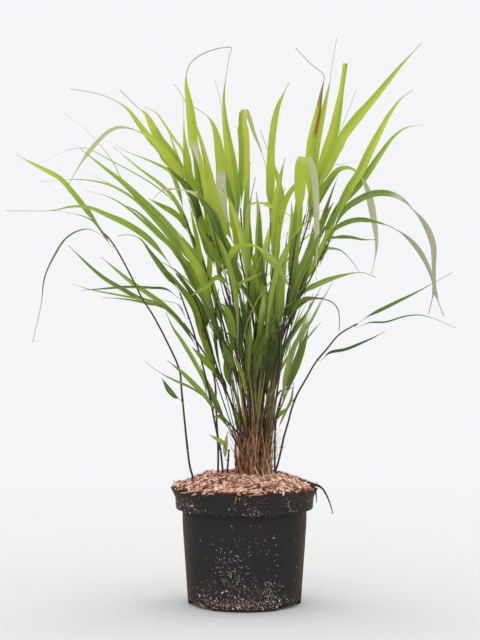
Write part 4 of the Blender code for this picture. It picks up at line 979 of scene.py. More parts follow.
             tone=0.3),
        leaf(9, 35, 70, -40, 62, 376, 12, 13, 13, 4, 13, -1, 12, -4, 8, -10, 2, -16, -1, -12,
             thread=True, thin=0.42),
        leaf(6, 50, 70, -25, 57, 364, 9, 20, 14, 8, 20, 1, 7, 8, dry=(0.5, 1, 0.4), added=True),
    ),
    shoot(
        "right_upper", 4, 25,
        (31, 218, 6, 47, 8, 45, 11, 45, 12, 40, 12, 35, 12, 30, 12, 25),
        leaf(10, 25, 50, 39, 104, 485, 13, 20, 15, 17, 14, 15, 12, 16, 15, 22, 17, 23, 17, 13, 23,
             4, thin=0.97),
        leaf(9, 40, 40, 60, 98, 473, 17, 27, 12, 20, 10, 18, 5, 12),
        leaf(8, 30, 60, -72, 90, 455, 6, 23, 6, 19, 6, 18, 6, 18, 6, 17, dry=(0.2, 0.95, 0.72)),
        leaf(15, 20, 20, 154, 64, 380, 8, 30, 8, 30, 6, 22, 2, 26, tone=-0.25),
        leaf(15, 20, 25, 30, 56, 355, 6, 45, 13, 30, 10, 37, tone=-0.3, added=True),
        leaf(8, 30, 30, -30, 74, 412, 14, 20, 10, 23, 22, 47, added=True),
        leaf(11, 20, 25, -45, 84, 440, 8, 25, 8, 25, 14, 26, tone=-0.2, added=True),
        leaf(10, 25, 30, 45, 68, 395, 10, 30, 6, 30, 16, 37, tone=-0.3, added=True),
    ),
    shoot(
        "far_right", -8, -35,
        (40, 171, 4, 13, 4, 18, 3, 14, 5, 17, 5, 19, 7, 18, 12, 21, 11, 19, 14, 17, 15, 18, 15, 10,
         10, 5),
        leaf(6, 45, 60, 25, 145, 360, 15, 10, 20, 10, 20, 10, 22, 11, 23, 13, 22, 12, thread=True),
        leaf(6, 72, 72, -30, 138, 357, 22, 4, 22, 1, 23, 7, 20, 2, 20, -5, 27, -12, thread=True),
        leaf(5, 50, 60, -20, 93, 313, 17, 10, 20, 4, 20, 8, 15, 7, 15, 8),
        on_mulch=True,
    ),
    shoot(
        "low_right", -18, -55,
        (39, 171, 0, 29, 1, 30, 5, 25, 4, 17),
        leaf(6.5, 40, 60, -20, 49, 272, 4, 16, 5, 17, 3, 17, 5, 14, 10, 14, 10, 13, 8, 15, 9, 18,
             10, 18, thread=True, tone=0.3),
        leaf(5.5, 35, 35, -86, 46, 258, 5, 27, 4, 20, 3, 20, 2, 15, tone=0.3),
        leaf(4, 40, 40, -12, 42, 242, 14, 11, 5, 13, 2, 19, tone=0.25),
        leaf(4, 50, 50, 18, 40, 226, 10, 14, 8, 16, 8, 10, tone=0.25),
        leaf(5.5, 40, 50, 20, 48, 266, 5, 19, 12, 45, 13, 35, 10, 34, tone=0.35,
             pale=(0.3, 1, 0.25), added=True),
        on_mulch=True,
    ),
    shoot(
        "low_right_back", 14, 50,
        (33, 218, 3, 22, 2, 30, 2, 25, 4, 17),
        leaf(5.5, 40, 50, 20, 44, 312, 8, 16, 10, 17, 10, 15, 9, 15, 9, 17, 8, 15, tone=0.3),
        leaf(5.5, 45, 50, 50, 41, 300, 7, 24, 8, 17, 9, 15, 8, 17, 6, 12, tone=0.3),
        leaf(5, 45, 45, -20, 38, 275, 5, 19, 7, 13, 8, 15, 8, 8, tone=0.25),
        leaf(5, 45, 45, 15, 37, 258, 8, 14, 11, 4, 11, 3),
        leaf(6, 30, 30, -15, 35, 232, 7, 7, 7, 8, 8, 5),
        leaf(6, 40, 50, -25, 42, 305, 10, 13, 10, 32, 13, 39, tone=0.3, added=True),
    ),
    shoot(
        "right_spray", 0, 5,
        (35, 218, 5, 22, 7, 25, 7, 20, 6, 15, 6, 15, 4, 15),
        leaf(4, 50, 50, 10, 70, 330, 8, 8, 10, 12, 10, 12, tone=0.3),
        leaf(7, 35, 35, -25, 48, 268, 10, 24, 6, 16, 6, 18, 3, 19, tone=0.3),
        leaf(6, 45, 50, 15, 64, 312, 11, 33, 13, 23, 12, 26, tone=0.35, pale=(0.3, 1, 0.3),
             added=True),
        leaf(7, 35, 45, -20, 50, 274, 6, 26, 8, 28, 11, 22, 10, 24, tone=0.35, added=True),
    ),
    shoot(
        "low_left", -4, -16,
        (-22, 171, 1, 14, 1, 13),
        leaf(6, 35, 35, -8, -20, 198, -7, 8, -9, 6, -9, 5, tone=0.3),
        leaf(6, 20, 20, -7, -21, 184, -4, 12, 1, 12, 2, 13, tone=0.4),
        on_mulch=True,
    ),
)

# Shoots of the clump's inside and back, each set by a rule: name, compass angle in
# degrees (270 is the front), distance from the crown's middle, culm height above the
# crown, lean of the culm's top, and how far each blade is swung and tilted, in degrees
INNER_SHOOTS = (
    ("back_1", 76, 16, 265, 75, ((0, 0), (0, 0), (0, -10), (0, 0))),
    ("back_2", 96, 16, 225, 100, ((0, 0), (0, 0), (-6, 0), (0, 0))),
    ("back_3", 135, 4, 255, 85, ((-42, 0), (-6, 5), (-42, 0), (-30, -10))),
    ("back_4", 86, 20, 150, 95, ((0, 0), (6, 0), (0, 0), (6, 0))),
    ("back_5", 126, 12, 140, 90, ((0, 0), (75, -10), (0, -5))),
    ("front_1", 264, 12, 190, 85, ((0, -10), (6, 0), (0, 0), (6, -10))),
    ("front_2", 278, 20, 130, 80, ((0, -10), (-12, -5), (0, -10), (-12, -10))),
    ("front_3", 256, 16, 120, 75, ((0, 5), (30, 0), (-75, 0), (30, 0))),
    ("inner_1", 68, 20, 195, 50, ((0, -5), (20, -10), (-12, -10), (0, 0))),
    ("inner_2", 292, 16, 215, 45, ((0, 0), (-6, -5), (-6, -5), (0, 0))),
)
INNER_STEP = 0.17
INNER_SIDE_ANGLE = 46.0
INNER_BLADE_LENGTH = 160.0
INNER_BLADE_WIDTH = 12.0
INNER_FIRST_CLIMB = 86.0
INNER_LAST_CLIMB = 36.0


# Curves


def smooth_step(value: float, start: float = 0.0, reach: float = 1.0) -> float:
    """A smooth rise from 0 at its start to 1 at its end.

    Args:
        value: The value.
        start: Where the rise starts.
        reach: How long it is.

    Returns:
        How far the value is up the rise, from 0 to 1.
    """
    share = min(max((value - start) / reach, 0.0), 1.0)
    return share * share * (3.0 - 2.0 * share)


def curve_through(points: Sequence[Vector], count: int) -> list[Vector]:
    """Evenly spaced points along a smooth curve.

    Args:
        points: The points that the curve passes.
        count: How many points come back.

    Returns:
        The points along the curve.
    """
    points = [Vector(point) for point in points]
    ends = [2 * points[0] - points[1]] + points + [2 * points[-1] - points[-2]]
    dense = []
    for a, b, c, d in zip(ends, ends[1:], ends[2:], ends[3:]):
        for step in range(CURVE_STEPS):
            t = step / CURVE_STEPS
            dense.append(0.5 * (2 * b + (c - a) * t + (2 * a - 5 * b + 4 * c - d) * t * t
                                + (3 * b - a - 3 * c + d) * t * t * t))
    dense.append(points[-1])
    reach = lengths_to(dense)
    result = []
    k = 0
    for i in range(count):
        wanted = reach[-1] * i / (count - 1)
        while k < len(reach) - 2 and reach[k + 1] < wanted:
            k += 1
        share = (wanted - reach[k]) / max(reach[k + 1] - reach[k], 1e-9)
        result.append(dense[k].lerp(dense[k + 1], min(max(share, 0.0), 1.0)))
    return result


def lengths_to(points: Sequence[Vector]) -> list[float]:
    """How far each point lies from the first, along the straight runs between them."""
    runs = ((b - a).length for a, b in pairwise(points))
    return list(accumulate(runs, initial=0.0))


def evenly(count: int) -> list[float]:
    """Shares from 0 to 1 in equal steps."""
    return [i / (count - 1) for i in range(count)]


def marked(stretches: Stretches, share: float) -> float:
    """The value that stretches give a place on a blade, with soft ends.

    Args:
        stretches: Start, end and value of each.
        share: The place, as a share of the length.

    Returns:
        The value, which is 0 outside the stretches.
    """
    total = 0.0
    for start, end, value in zip(stretches[::3], stretches[1::3], stretches[2::3]):
        rise = smooth_step((share - start) / SOFT_END + 0.5)
        fall = 1.0 if end >= 1.0 else smooth_step((end - share) / SOFT_END + 0.5)
        total += value * rise * fall
    return total


def seen_at(x: float, z: float, y: float) -> Vector:
    """The place at depth y that looks, from the front, as if it were at x, z."""
    scale = 1.0 + y / EYE_DISTANCE
    return Vector((x * scale, y, EYE_HEIGHT + (z - EYE_HEIGHT) * scale))


def tangents_of(line: Sequence[Vector]) -> list[Vector]:
    """Unit vectors along a line, one for each of its points."""
    ends = [line[0], *line, line[-1]]
    return [(after - before).normalized() for before, after in zip(ends, ends[2:])]


def carried_sides(line: Sequence[Vector], start: Vector) -> list[Vector]:
    """Unit vectors square to a line that turn with it and don't spin about it.

    Args:
        line: The line's points.
        start: The direction to start from.

    Returns:
        One vector for each point.
    """
    tangents = tangents_of(line)
    side = (start - tangents[0] * start.dot(tangents[0])).normalized()
    sides = [side]
    for before, after in pairwise(tangents):
        side = before.rotation_difference(after) @ side
        side = (side - after * side.dot(after)).normalized()
        sides.append(side)
    return sides


def level(turn: float) -> Vector:
    """The level direction at an angle in radians."""
    return Vector((math.cos(turn), math.sin(turn), 0.0))


def mulch_height(radius: float) -> float:
    """The height of the mulch mound.

    Args:
        radius: The distance from the pot's axis.

    Returns:
        The height.
    """
    if radius <= MULCH_FLAT_RADIUS:
        return MULCH_TOP
    share = (radius - MULCH_FLAT_RADIUS) / (MULCH_RADIUS - MULCH_FLAT_RADIUS)
    return MULCH_TOP - (MULCH_TOP - MULCH_EDGE) * min(share, 1.0) ** MULCH_FALL_POWER


class Cut(Enum):
    """The cross-sections of swept lines: number, corners, hollow and wall of each."""

    ROUND = (0, 8, 0.0, 1.0)
    BLADE = (1, 12, 0.24, 0.035)
    SHEATH = (2, 10, 0.75, 0.14)


@dataclass
class Line:
    """A centre line ready to be swept, in millimetres.

    points, uppers and halves give the place, the upper side and half the width at
    each ring, and marks the other attributes, by name.
    """

    cut: Cut
    points: list[Vector]
    uppers: list[Vector]
    halves: list[float]
    marks: dict[str, list[float]] = field(default_factory=dict)


def plain_line(cut: Cut, points: Sequence[Vector], upper: Vector, halves: list[float],
               tone: float, first: float = 0.0) -> Line:
    """A line of one tone, along a smooth curve.

    Args:
        cut: Its cross-section.
        points: The points that it passes.
        upper: Its upper side at its first point.
        halves: Half the width at each ring.
        tone: Its colour's place on the ramp.
        first: Where its fibres start.

    Returns:
        The line.
    """
    count = len(halves)
    line = curve_through(points, count)
    marks = {"along": [share + first for share in evenly(count)], "tone": [tone] * count}
    return Line(cut, line, carried_sides(line, upper), halves, marks)


class Swept:
    """Makes one mesh out of many lines, through one Geometry Nodes tree."""

    NUMBERS = ("along", "tone", "pale", "dry", "rust", "split")

    def __init__(self, finishes: dict[Cut, bpy.types.Material]) -> None:
        """Sets what the tree is given for each cross-section, and builds the tree.

        Args:
            finishes: The material of each cross-section that is used.
        """
        self.inputs: dict[str, tuple[str, object]] = {}
        for cut in Cut:
            _, sides, hollow, wall = cut.value
            self.inputs |= {f"{cut.name} sides": (WHOLE, sides),
                            f"{cut.name} hollow": (NUMBER, hollow),
                            f"{cut.name} wall": (NUMBER, wall),
                            f"{cut.name} finish": (MATERIAL, finishes.get(cut))}
        self.tree = self.build_tree()

    def profile(self, graph: Graph, sides: Socket, hollow: Socket, wall: Socket) -> Socket:
        """A closed cross-section: flat and hollow like a blade, or round.

        Args:
            graph: The tree's graph.
            sides: How many corners it has.
            hollow: How far its edges rise towards the upper side.
            wall: Half its thickness, beside half its width.

        Returns:
            The profile, which carries the attributes across and side.
        """
        circle = graph.out("GeometryNodeCurvePrimitiveCircle",
                           {"Resolution": sides, "Radius": 1.0})
        across, side, _ = graph.parts(graph.position())
        rise = graph.math("POWER", graph.math("ABSOLUTE", across), HOLLOW_POWER)
        up = graph.plus(graph.times(rise, hollow), graph.times(side, wall))
        profile = graph.store(graph.store(circle, "across", across), "side", side)
        return graph.out("GeometryNodeSetPosition", {
            "Geometry": profile, "Position": graph.joined(up, across)})

    def build_tree(self) -> Tree:
        """The tree that sweeps each cross-section along the lines meant for it.

        Returns:
            The tree. Each branch ends in Realize Instances and Set Material.
        """
        graph, given, result = new_tree(
            "swept_lines", "GeometryNodeTree", {"Lines": (GEOMETRY, None)} | self.inputs,
            {"Mesh": GEOMETRY})
        joined = graph.add("GeometryNodeJoinGeometry")
        for cut in Cut:
            chosen = graph.out("FunctionNodeCompare",
                               {0: graph.named("cut"), 1: float(cut.value[0]), 12: 0.25},
                               data_type="FLOAT", operation="EQUAL")
            own = graph.out("GeometryNodeSeparateGeometry",
                            {"Geometry": given["Lines"], "Selection": chosen},
                            domain="POINT")
            curves = graph.out("GeometryNodeMeshToCurve", {0: own})
            upper = graph.named("upper", "FLOAT_VECTOR")
            framed = graph.out("GeometryNodeSetCurveNormal",
                               {"Curve": curves, "Normal": upper}, mode="FREE")
            shape = self.profile(graph, *(given[f"{cut.name} {part}"]
                                          for part in ("sides", "hollow", "wall")))
            walls = graph.out("GeometryNodeCurveToMesh", {
                "Curve": framed, "Profile Curve": shape, "Scale": graph.named("half"),
                "Fill Caps": True})
            outward = graph.out("GeometryNodeFlipFaces", {0: walls})
            graph.link(graph.finished(outward, given[f"{cut.name} finish"]),
                       joined.inputs[0])
        graph.link(joined.outputs[0], result["Mesh"])
        return graph.tree

    def sweep(self, name: str, lines: Sequence[Line]) -> Item:
        """Sweeps lines into one piece.

        Args:
            name: The piece's name.
            lines: The lines.

        Returns:
            The piece, a plain smooth mesh at the origin.
        """
        mesh = bpy.data.meshes.new(f"{name}_lines")
        ends = list(accumulate((len(line.points) for line in lines), initial=0))
        edges = [(k, k + 1) for first, after in pairwise(ends)
                 for k in range(first, after - 1)]
        mesh.from_pydata([point * MM for line in lines for point in line.points], edges, [])
        uppers = mesh.attributes.new("upper", "FLOAT_VECTOR", "POINT")
        uppers.data.foreach_set("vector", [part for line in lines
                                           for upper in line.uppers for part in upper])
        columns = {"half": [half * MM for line in lines for half in line.halves],
                   "cut": [float(line.cut.value[0]) for line in lines
                           for _ in line.points]}
        for label in self.NUMBERS:
            columns[label] = [value for line in lines for value
                              in line.marks.get(label, [0.0] * len(line.points))]
        for label, column in columns.items():
            mesh.attributes.new(label, "FLOAT", "POINT").data.foreach_set("value", column)
        inputs = {label: value for label, (_, value) in self.inputs.items()}
        return grown(name, mesh, self.tree, inputs, smooth=True)


def grown(name: str, mesh: Mesh, tree: Tree,
          inputs: dict[str, object], smooth: bool = False) -> Item:
    """Runs a Geometry Nodes tree on a mesh and keeps the result as a plain mesh.

    Args:
        name: The piece's name.
        mesh: What the tree starts from.
        tree: The tree.
        inputs: Its inputs, by name.
        smooth: Whether the result is shaded smooth.

    Returns:
        The finished piece.
    """
    source = placed(f"{name}_source", mesh)
    step = source.modifiers.new("grow", "NODES")
    step.node_group = tree
    for item in tree.interface.items_tree:
        if item.item_type == "SOCKET" and item.in_out == "INPUT" and item.name in inputs:
            step[item.identifier] = inputs[item.name]
    depsgraph = bpy.context.evaluated_depsgraph_get()
    result = bpy.data.meshes.new_from_object(source.evaluated_get(depsgraph),
                                             preserve_all_data_layers=True,
                                             depsgraph=depsgraph)
    source.modifiers.remove(step)
    bpy.data.objects.remove(source)
    bpy.data.meshes.remove(mesh)
    result.name = name
    if smooth:
        result.shade_smooth()
    return placed(name, result)


def placed(name: str, data: bpy.types.ID) -> Item:
    """Puts a mesh, a lamp or a camera in the scene.

    Args:
        name: The object's name.
        data: What it shows.

    Returns:
        The object.
    """
    item = bpy.data.objects.new(name, data)
    bpy.context.scene.collection.objects.link(item)
    return item


@cache
def strewn_tree() -> Tree:
    """The tree that strews chips over a mesh, laid along it and a little tilted.

    Returns:
        The tree. It ends in Realize Instances and Set Material.
    """
    graph, given, result = new_tree(
        "strewn_chips", "GeometryNodeTree",
        {"Ground": (GEOMETRY, None), "Chips per square metre": (NUMBER, 1e5),
         "Smallest": (VECTOR, (0.003, 0.001, 0.0005)),
         "Largest": (VECTOR, (0.012, 0.003, 0.0012)),
         "Tilt": (NUMBER, 0.3), "Seed": (WHOLE, 1), "Finish": (MATERIAL, None)},
        {"Mesh": GEOMETRY})
    density = graph.times(given["Chips per square metre"], graph.named("cover"))
    spread = graph.add("GeometryNodeDistributePointsOnFaces",
                       {"Mesh": given["Ground"], "Density": density,
                        "Seed": given["Seed"]}, distribute_method="RANDOM")
    block = graph.out("GeometryNodeMeshCube",
                      {"Size": (1.0, 1.0, 1.0), "Vertices X": 4, "Vertices Y": 2,
                       "Vertices Z": 2})
    block = graph.store(block, "grain", graph.position(), "FLOAT_VECTOR")
    x, y, z = graph.parts(graph.position())
    far = graph.math("ABSOLUTE", x)
    slim = graph.fit(far, 0.15, 0.5, 1.0, 0.32)
    wavy = graph.times(graph.math("SINE", graph.times(x, 7.0)), 0.22)
    bowed = graph.times(graph.times(far, far), 1.4)
    shaped = graph.joined(x, graph.plus(graph.times(y, slim), wavy),
                          graph.plus(graph.times(z, slim), bowed))
    chip = graph.add("GeometryNodeSetPosition", {"Geometry": block, "Position": shaped})
    size = graph.out("FunctionNodeRandomValue",
                     {"Min": given["Smallest"], "Max": given["Largest"],
                      "Seed": given["Seed"]}, data_type="FLOAT_VECTOR")
    tilt = given["Tilt"]
    back = graph.times(tilt, -1.0)
    turn = graph.out("FunctionNodeRandomValue",
                     {"Min": graph.joined(back, back),
                      "Max": graph.joined(tilt, tilt, math.tau),
                      "Seed": graph.plus(given["Seed"], 7.0)},
                     data_type="FLOAT_VECTOR")
    turn = graph.out("FunctionNodeEulerToRotation", {0: turn})
    lie = graph.out("FunctionNodeRotateRotation",
                    {"Rotation": spread.outputs["Rotation"], "Rotate By": turn},
                    rotation_space="LOCAL")
    laid = graph.out("GeometryNodeInstanceOnPoints",
                     {"Points": spread.outputs["Points"], "Instance": chip.outputs[0],
                      "Rotation": lie, "Scale": size})
    shade = graph.add("FunctionNodeRandomValue", {"Seed": graph.plus(given["Seed"], 13.0)},
                      data_type="FLOAT").outputs[1]
    laid = graph.store(laid, "shade", shade, domain="INSTANCE")
    graph.link(graph.finished(laid, given["Finish"]), result["Mesh"])
    return graph.tree


def turned(name: str, outline: Sequence[Pair], sides: int,
           lift: Callable[[float, float, float], float] | None = None) -> Mesh:
    """Turns an outline about the pot's axis into a mesh.

    Args:
        name: The mesh's name.
        outline: Radius and height of each point, from the axis back to the axis.
        sides: How many columns of faces there are.
        lift: Gives a corner's height from its radius, height and angle.

    Returns:
        The mesh, facing outwards.
    """
    shape = bmesh.new()
    rows = []
    for radius, height in outline:
        if radius == 0.0:
            rows.append([shape.verts.new((0.0, 0.0, height * MM))] * sides)
            continue
        row = []
        for k in range(sides):
            angle = math.tau * k / sides
            level = lift(radius, height, angle) if lift else height
            row.append(shape.verts.new((radius * math.cos(angle) * MM,
                                        radius * math.sin(angle) * MM, level * MM)))
        rows.append(row)
    for lower, upper in pairwise(rows):
        for k in range(sides):
            after = (k + 1) % sides
            loop = [lower[k], lower[after], upper[after], upper[k]]
            shape.faces.new([c for i, c in enumerate(loop) if c is not loop[i - 1]])
    mesh = bpy.data.meshes.new(name)
    shape.to_mesh(mesh)
    shape.free()
    return mesh


def rounded(corners: Sequence[Triple]) -> list[Pair]:
    """Rounds the corners of an outline.

    Args:
        corners: Radius, height and rounding of each corner.

    Returns:
        The outline, with five points for each rounded corner.
    """
    result = []
    for k, (radius, height, bend) in enumerate(corners):
        if bend == 0.0:
            result.append((radius, height))
            continue
        here = Vector((radius, height))
        before = Vector(corners[k - 1][:2]) - here
        after = Vector(corners[k + 1][:2]) - here
        first = here + before.normalized() * min(bend, before.length / 2)
        last = here + after.normalized() * min(bend, after.length / 2)
        for step in range(5):
            t = step / 4
            spot = first * (1 - t) ** 2 + here * 2 * t * (1 - t) + last * t * t
            result.append((spot.x, spot.y))
    return result


# The pieces


def settle(piece: Item, slot: str, *nodes: str) -> None:
    """Rides a finished piece on the plant's body.

    Args:
        piece: The piece.
        slot: Its material slot; not used.
        nodes: The CAD nodes that it replaces.
    """
    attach(piece, "root")
    if nodes:
        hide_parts(*nodes)
    triangles = sum(len(face.vertices) - 2 for face in piece.data.polygons)
    log.info("%s: %d triangles", piece.name, triangles)


@dataclass
class NurseryPot:
    """The black pot: flared lip, band, tapered body and three shallow feet."""

    wall: float = 1.6
    floor: float = 2.0
    feet: int = 3
    foot_arc: float = 72.0
    recess: float = 5.0
    foot_slope: float = 3.2
    recess_radius: float = 58.0
    sides: int = 180
    finish: PotFinish = PotFinish("pot_plastic", specular=0.02)

    def outline(self) -> list[Pair]:
        """The pot's wall, from the middle of its underside round to its inside.

        Returns:
            Radius and height of each point.
        """
        shelf = BAND_BOTTOM + self.wall
        tuck = BAND_BOTTOM - 21.0
        return rounded((
            (0.0, 0.0, 0.0),
            (self.recess_radius, 0.0, 0.0),
            (self.recess_radius + 0.8, 0.01, 0.0),
            (BASE_RADIUS, 0.0, 2.2),
            (BASE_RADIUS + 0.8, 9.0, 0.0),
            (BODY_TOP_RADIUS - 0.3, tuck, 6.0),
            (BODY_TOP_RADIUS, BAND_BOTTOM, 0.8),
            (BAND_RADIUS, BAND_BOTTOM, 1.8),
            (BAND_RADIUS + 0.8, LIP_BOTTOM, 3.0),
            (RIM_RADIUS, POT_HEIGHT, 1.0),
            (RIM_RADIUS - self.wall, POT_HEIGHT, 0.5),
            (BAND_RADIUS - self.wall, LIP_BOTTOM, 2.0),
            (BAND_RADIUS - self.wall, shelf, 0.5),
            (BODY_TOP_RADIUS - self.wall, shelf, 0.5),
            (BASE_RADIUS - self.wall, self.recess + self.floor, 1.0),
            (0.0, self.recess + self.floor, 0.0),
        ))

    def foot_share(self, angle: float) -> float:
        """Says where the underside stands and where it is recessed.

        Args:
            angle: The angle about the pot's axis.

        Returns:
            0 over a foot and 1 over a recess.
        """
        period = 360.0 / self.feet
        off = (math.degrees(angle) + 90.0 + period / 2) % period - period / 2
        edge = self.foot_arc / 2
        return smooth_step(abs(off) - edge, -self.foot_slope / 2, self.foot_slope)

    def raise_floor(self, radius: float, height: float, angle: float) -> float:
        """Lifts the underside's outer ring and the wall's foot over the recesses.

        Args:
            radius: A corner's distance from the axis.
            height: Its height.
            angle: Its angle about the axis.

        Returns:
            Its new height.
        """
        if radius <= self.recess_radius or height > 5.0:
            return height
        return height + self.recess * self.foot_share(angle) * (1.0 - height / 9.0)

    def build(self) -> Item:
        """Makes the pot.

        Returns:
            The piece.
        """
        mesh = turned("nursery_pot_shell", self.outline(), self.sides, self.raise_floor)
        mesh.shade_smooth()
        mesh.materials.append(self.finish.build())
        piece = placed("pot_shell", mesh)
        settle(piece, "pot_plastic", "nursery_pot")
        return piece


def covered(mesh: Mesh, cover: Callable[[Vector], float]) -> Mesh:
    """Marks how densely each corner of a mesh is strewn.

    Args:
        mesh: The mesh.
        cover: Gives the share of the usual density at a place, in millimetres.

    Returns:
        The mesh.
    """
    shares = [cover(corner.co / MM) for corner in mesh.vertices]
    mesh.attributes.new("cover", "FLOAT", "POINT").data.foreach_set("value", shares)
    return mesh


@dataclass(frozen=True)
class Patch:
    """A patch of litter on the pot's front, by its middle, its reach and its strength."""

    x: float
    z: float
    wide: float
    high: float
    strength: float


COARSE_LITTER = (
    Patch(-28.0, 6.0, 26.0, 5.0, 1.5),
    Patch(8.0, 8.0, 16.0, 4.0, 1.2),
    Patch(-52.0, 12.0, 7.0, 7.0, 0.9),
    Patch(33.0, 14.0, 8.0, 9.0, 0.7),
    Patch(-20.0, 30.0, 14.0, 20.0, 0.25),
    Patch(-72.0, 138.0, 9.0, 6.0, 0.35),
    Patch(10.0, 142.0, 40.0, 4.0, 0.25),
)


@dataclass
class PotLitter:
    """Crumbs of bark that stick to the pot's wall and lie along its band."""

    patches: tuple[Patch, ...] = (
        Patch(-16.0, 56.0, 15.0, 22.0, 0.95),
        Patch(10.0, 84.0, 30.0, 13.0, 0.2),
        Patch(-6.0, 30.0, 30.0, 12.0, 1.0),
        Patch(-4.0, 10.0, 44.0, 8.0, 2.6),
        Patch(32.0, 26.0, 10.0, 14.0, 1.6),
        Patch(-52.0, 14.0, 8.0, 10.0, 0.8),
        Patch(-70.0, 136.0, 11.0, 8.0, 1.5),
        Patch(12.0, 138.0, 12.0, 8.0, 1.3),
        Patch(12.0, 126.0, 14.0, 5.0, 1.0),
        Patch(60.0, 140.0, 12.0, 6.0, 1.6),
    )
    band_all_round: float = 0.10
    body_all_round: float = 0.012
    per_square_metre: float = 98000.0
    smallest: Triple = (0.0005, 0.00025, 0.0002)
    largest: Triple = (0.0036, 0.0006, 0.0004)
    name: str = "pot_litter"
    seed: int = 5
    finish: ChipFinish = ChipFinish("crumbs", roughness=0.85, shades=(
        (0.0, (0.240, 0.090, 0.060)), (0.35, (0.420, 0.240, 0.175)),
        (0.70, (0.600, 0.500, 0.430)), (1.0, (0.800, 0.740, 0.660))))

    def wall_radius(self, height: float) -> float:
        """The radius of the pot's outer wall.

        Args:
            height: The height above the floor.

        Returns:
            The radius, a little outside the wall.
        """
        if height < BAND_BOTTOM:
            rise = min((height - 9.0) / (BAND_BOTTOM - 30.0), 1.0)
            return BASE_RADIUS + 0.9 + (BODY_TOP_RADIUS - BASE_RADIUS - 1.1) * rise
        lip = max(height - LIP_BOTTOM, 0.0) / (POT_HEIGHT - LIP_BOTTOM)
        return BAND_RADIUS + 0.6 + (RIM_RADIUS - BAND_RADIUS - 0.8) * lip

    def cover(self, spot: Vector) -> float:
        """How densely a place on the wall is littered.

        Args:
            spot: The place, in millimetres.

        Returns:
            The share of the usual density.
        """
        total = self.body_all_round * (1.0 + 2.0 * smooth_step((40.0 - spot.z) / 40.0))
        if spot.z > BAND_BOTTOM:
            total = self.band_all_round
        if spot.y > 0.0:
            return total
        for patch in self.patches:
            away = ((spot.x - patch.x) / patch.wide) ** 2
            away += ((spot.z - patch.z) / patch.high) ** 2
            total += patch.strength * math.exp(-away)
        return total

    def build(self) -> Item:
        """Makes the crumbs on a copy of the pot's outer wall.

        Returns:
            The piece.
        """
        wall = [(self.wall_radius(height / 2), height / 2) for height in range(7, 297, 5)]
        mesh = covered(turned("litter_ground", wall, 140), self.cover)
        piece = grown(self.name, mesh, strewn_tree(), {
            "Chips per square metre": self.per_square_metre,
            "Smallest": self.smallest, "Largest": self.largest,
            "Tilt": 0.25, "Seed": self.seed, "Finish": self.finish.build(),
        })
        settle(piece, "bark")
        return piece


@dataclass
class BarkMulch:
    """The mound of shredded bark: a lumpy bed with chips strewn over it."""

    rings: int = 34
    sides: int = 110
    lump: float = 1.5
    sunk: float = 3.6
    underside: Path = ((0.0, 139.8), (85.5, 139.8), (86.0, 148.5), (92.5, 149.6))
    bare_below: float = 149.0
    thinning: Pair = (85.5, 4.0)
    chips_per_square_metre: float = 105000.0
    bed_finish: MouldFinish = MouldFinish("bark_fines", roughness=0.95)
    chip_finish: ChipFinish = ChipFinish("bark_chips", roughness=0.88)

    def bed(self) -> Mesh:
        """The mound under the chips, a little lumpy, down to the pot's inside.

        Returns:
            The mound's mesh.
        """
        chance = random.Random(11)
        waves = [(chance.uniform(0, math.tau), chance.randint(3, 19),
                  chance.uniform(0.05, 0.24)) for _ in range(14)]

        def lumpy(radius: float, height: float, angle: float) -> float:
            """Lifts the mound's upper side by a sum of waves.

            Args:
                radius: A corner's distance from the axis.
                height: Its height.
                angle: Its angle about the axis.

            Returns:
                Its new height.
            """
            if height < POT_HEIGHT:
                return height
            spread = sum(math.sin(turns * angle + phase + pitch * radius)
                         for phase, turns, pitch in waves) / len(waves)
            return height + self.lump * 2.0 * spread * smooth_step(radius, reach=20.0)

        outline = list(self.underside)
        for k in range(self.rings + 1):
            radius = MULCH_RADIUS * (1.0 - k / self.rings)
            sunk = self.sunk * smooth_step(MULCH_RADIUS - radius, reach=16.0)
            outline.append((radius, mulch_height(radius) - 0.8 - sunk))
        return turned("mulch_bed", outline, self.sides, lumpy)

    def cover(self, spot: Vector) -> float:
        """How densely a place is strewn: bare under the crown, and thin at the rim.

        Args:
            spot: The place, in millimetres.

        Returns:
            The share of the usual density.
        """
        under_crown = math.hypot(spot.x - CROWN_X, spot.y) < CROWN_RADIUS - 6.0
        if under_crown or spot.z < self.bare_below:
            return 0.0
        return 1.0 - 0.8 * smooth_step(math.hypot(spot.x, spot.y), *self.thinning)

    def build(self) -> Item:
        """Makes the bed and the chips as one piece.

        Returns:
            The piece, with the chips' faces before the bed's.
        """
        mesh = covered(self.bed(), self.cover)
        bed = mesh.copy()
        piece = grown("bark_mound", mesh, strewn_tree(), {
            "Chips per square metre": self.chips_per_square_metre,
            "Smallest": (0.004, 0.0010, 0.0006), "Largest": (0.019, 0.0046, 0.0016),
            "Tilt": 0.30, "Seed": 3, "Finish": self.chip_finish.build(),
        })
        shape = bmesh.new()
        shape.from_mesh(piece.data)
        chips = len(shape.faces)
        shape.from_mesh(bed)
        shape.faces.ensure_lookup_table()
        for face in shape.faces[chips:]:
            face.material_index = 1
            face.smooth = True
        shape.to_mesh(piece.data)
        shape.free()
        bpy.data.meshes.remove(bed)
        piece.data.materials.append(self.bed_finish.build())
        settle(piece, "bark", "bark_mulch")
        return piece


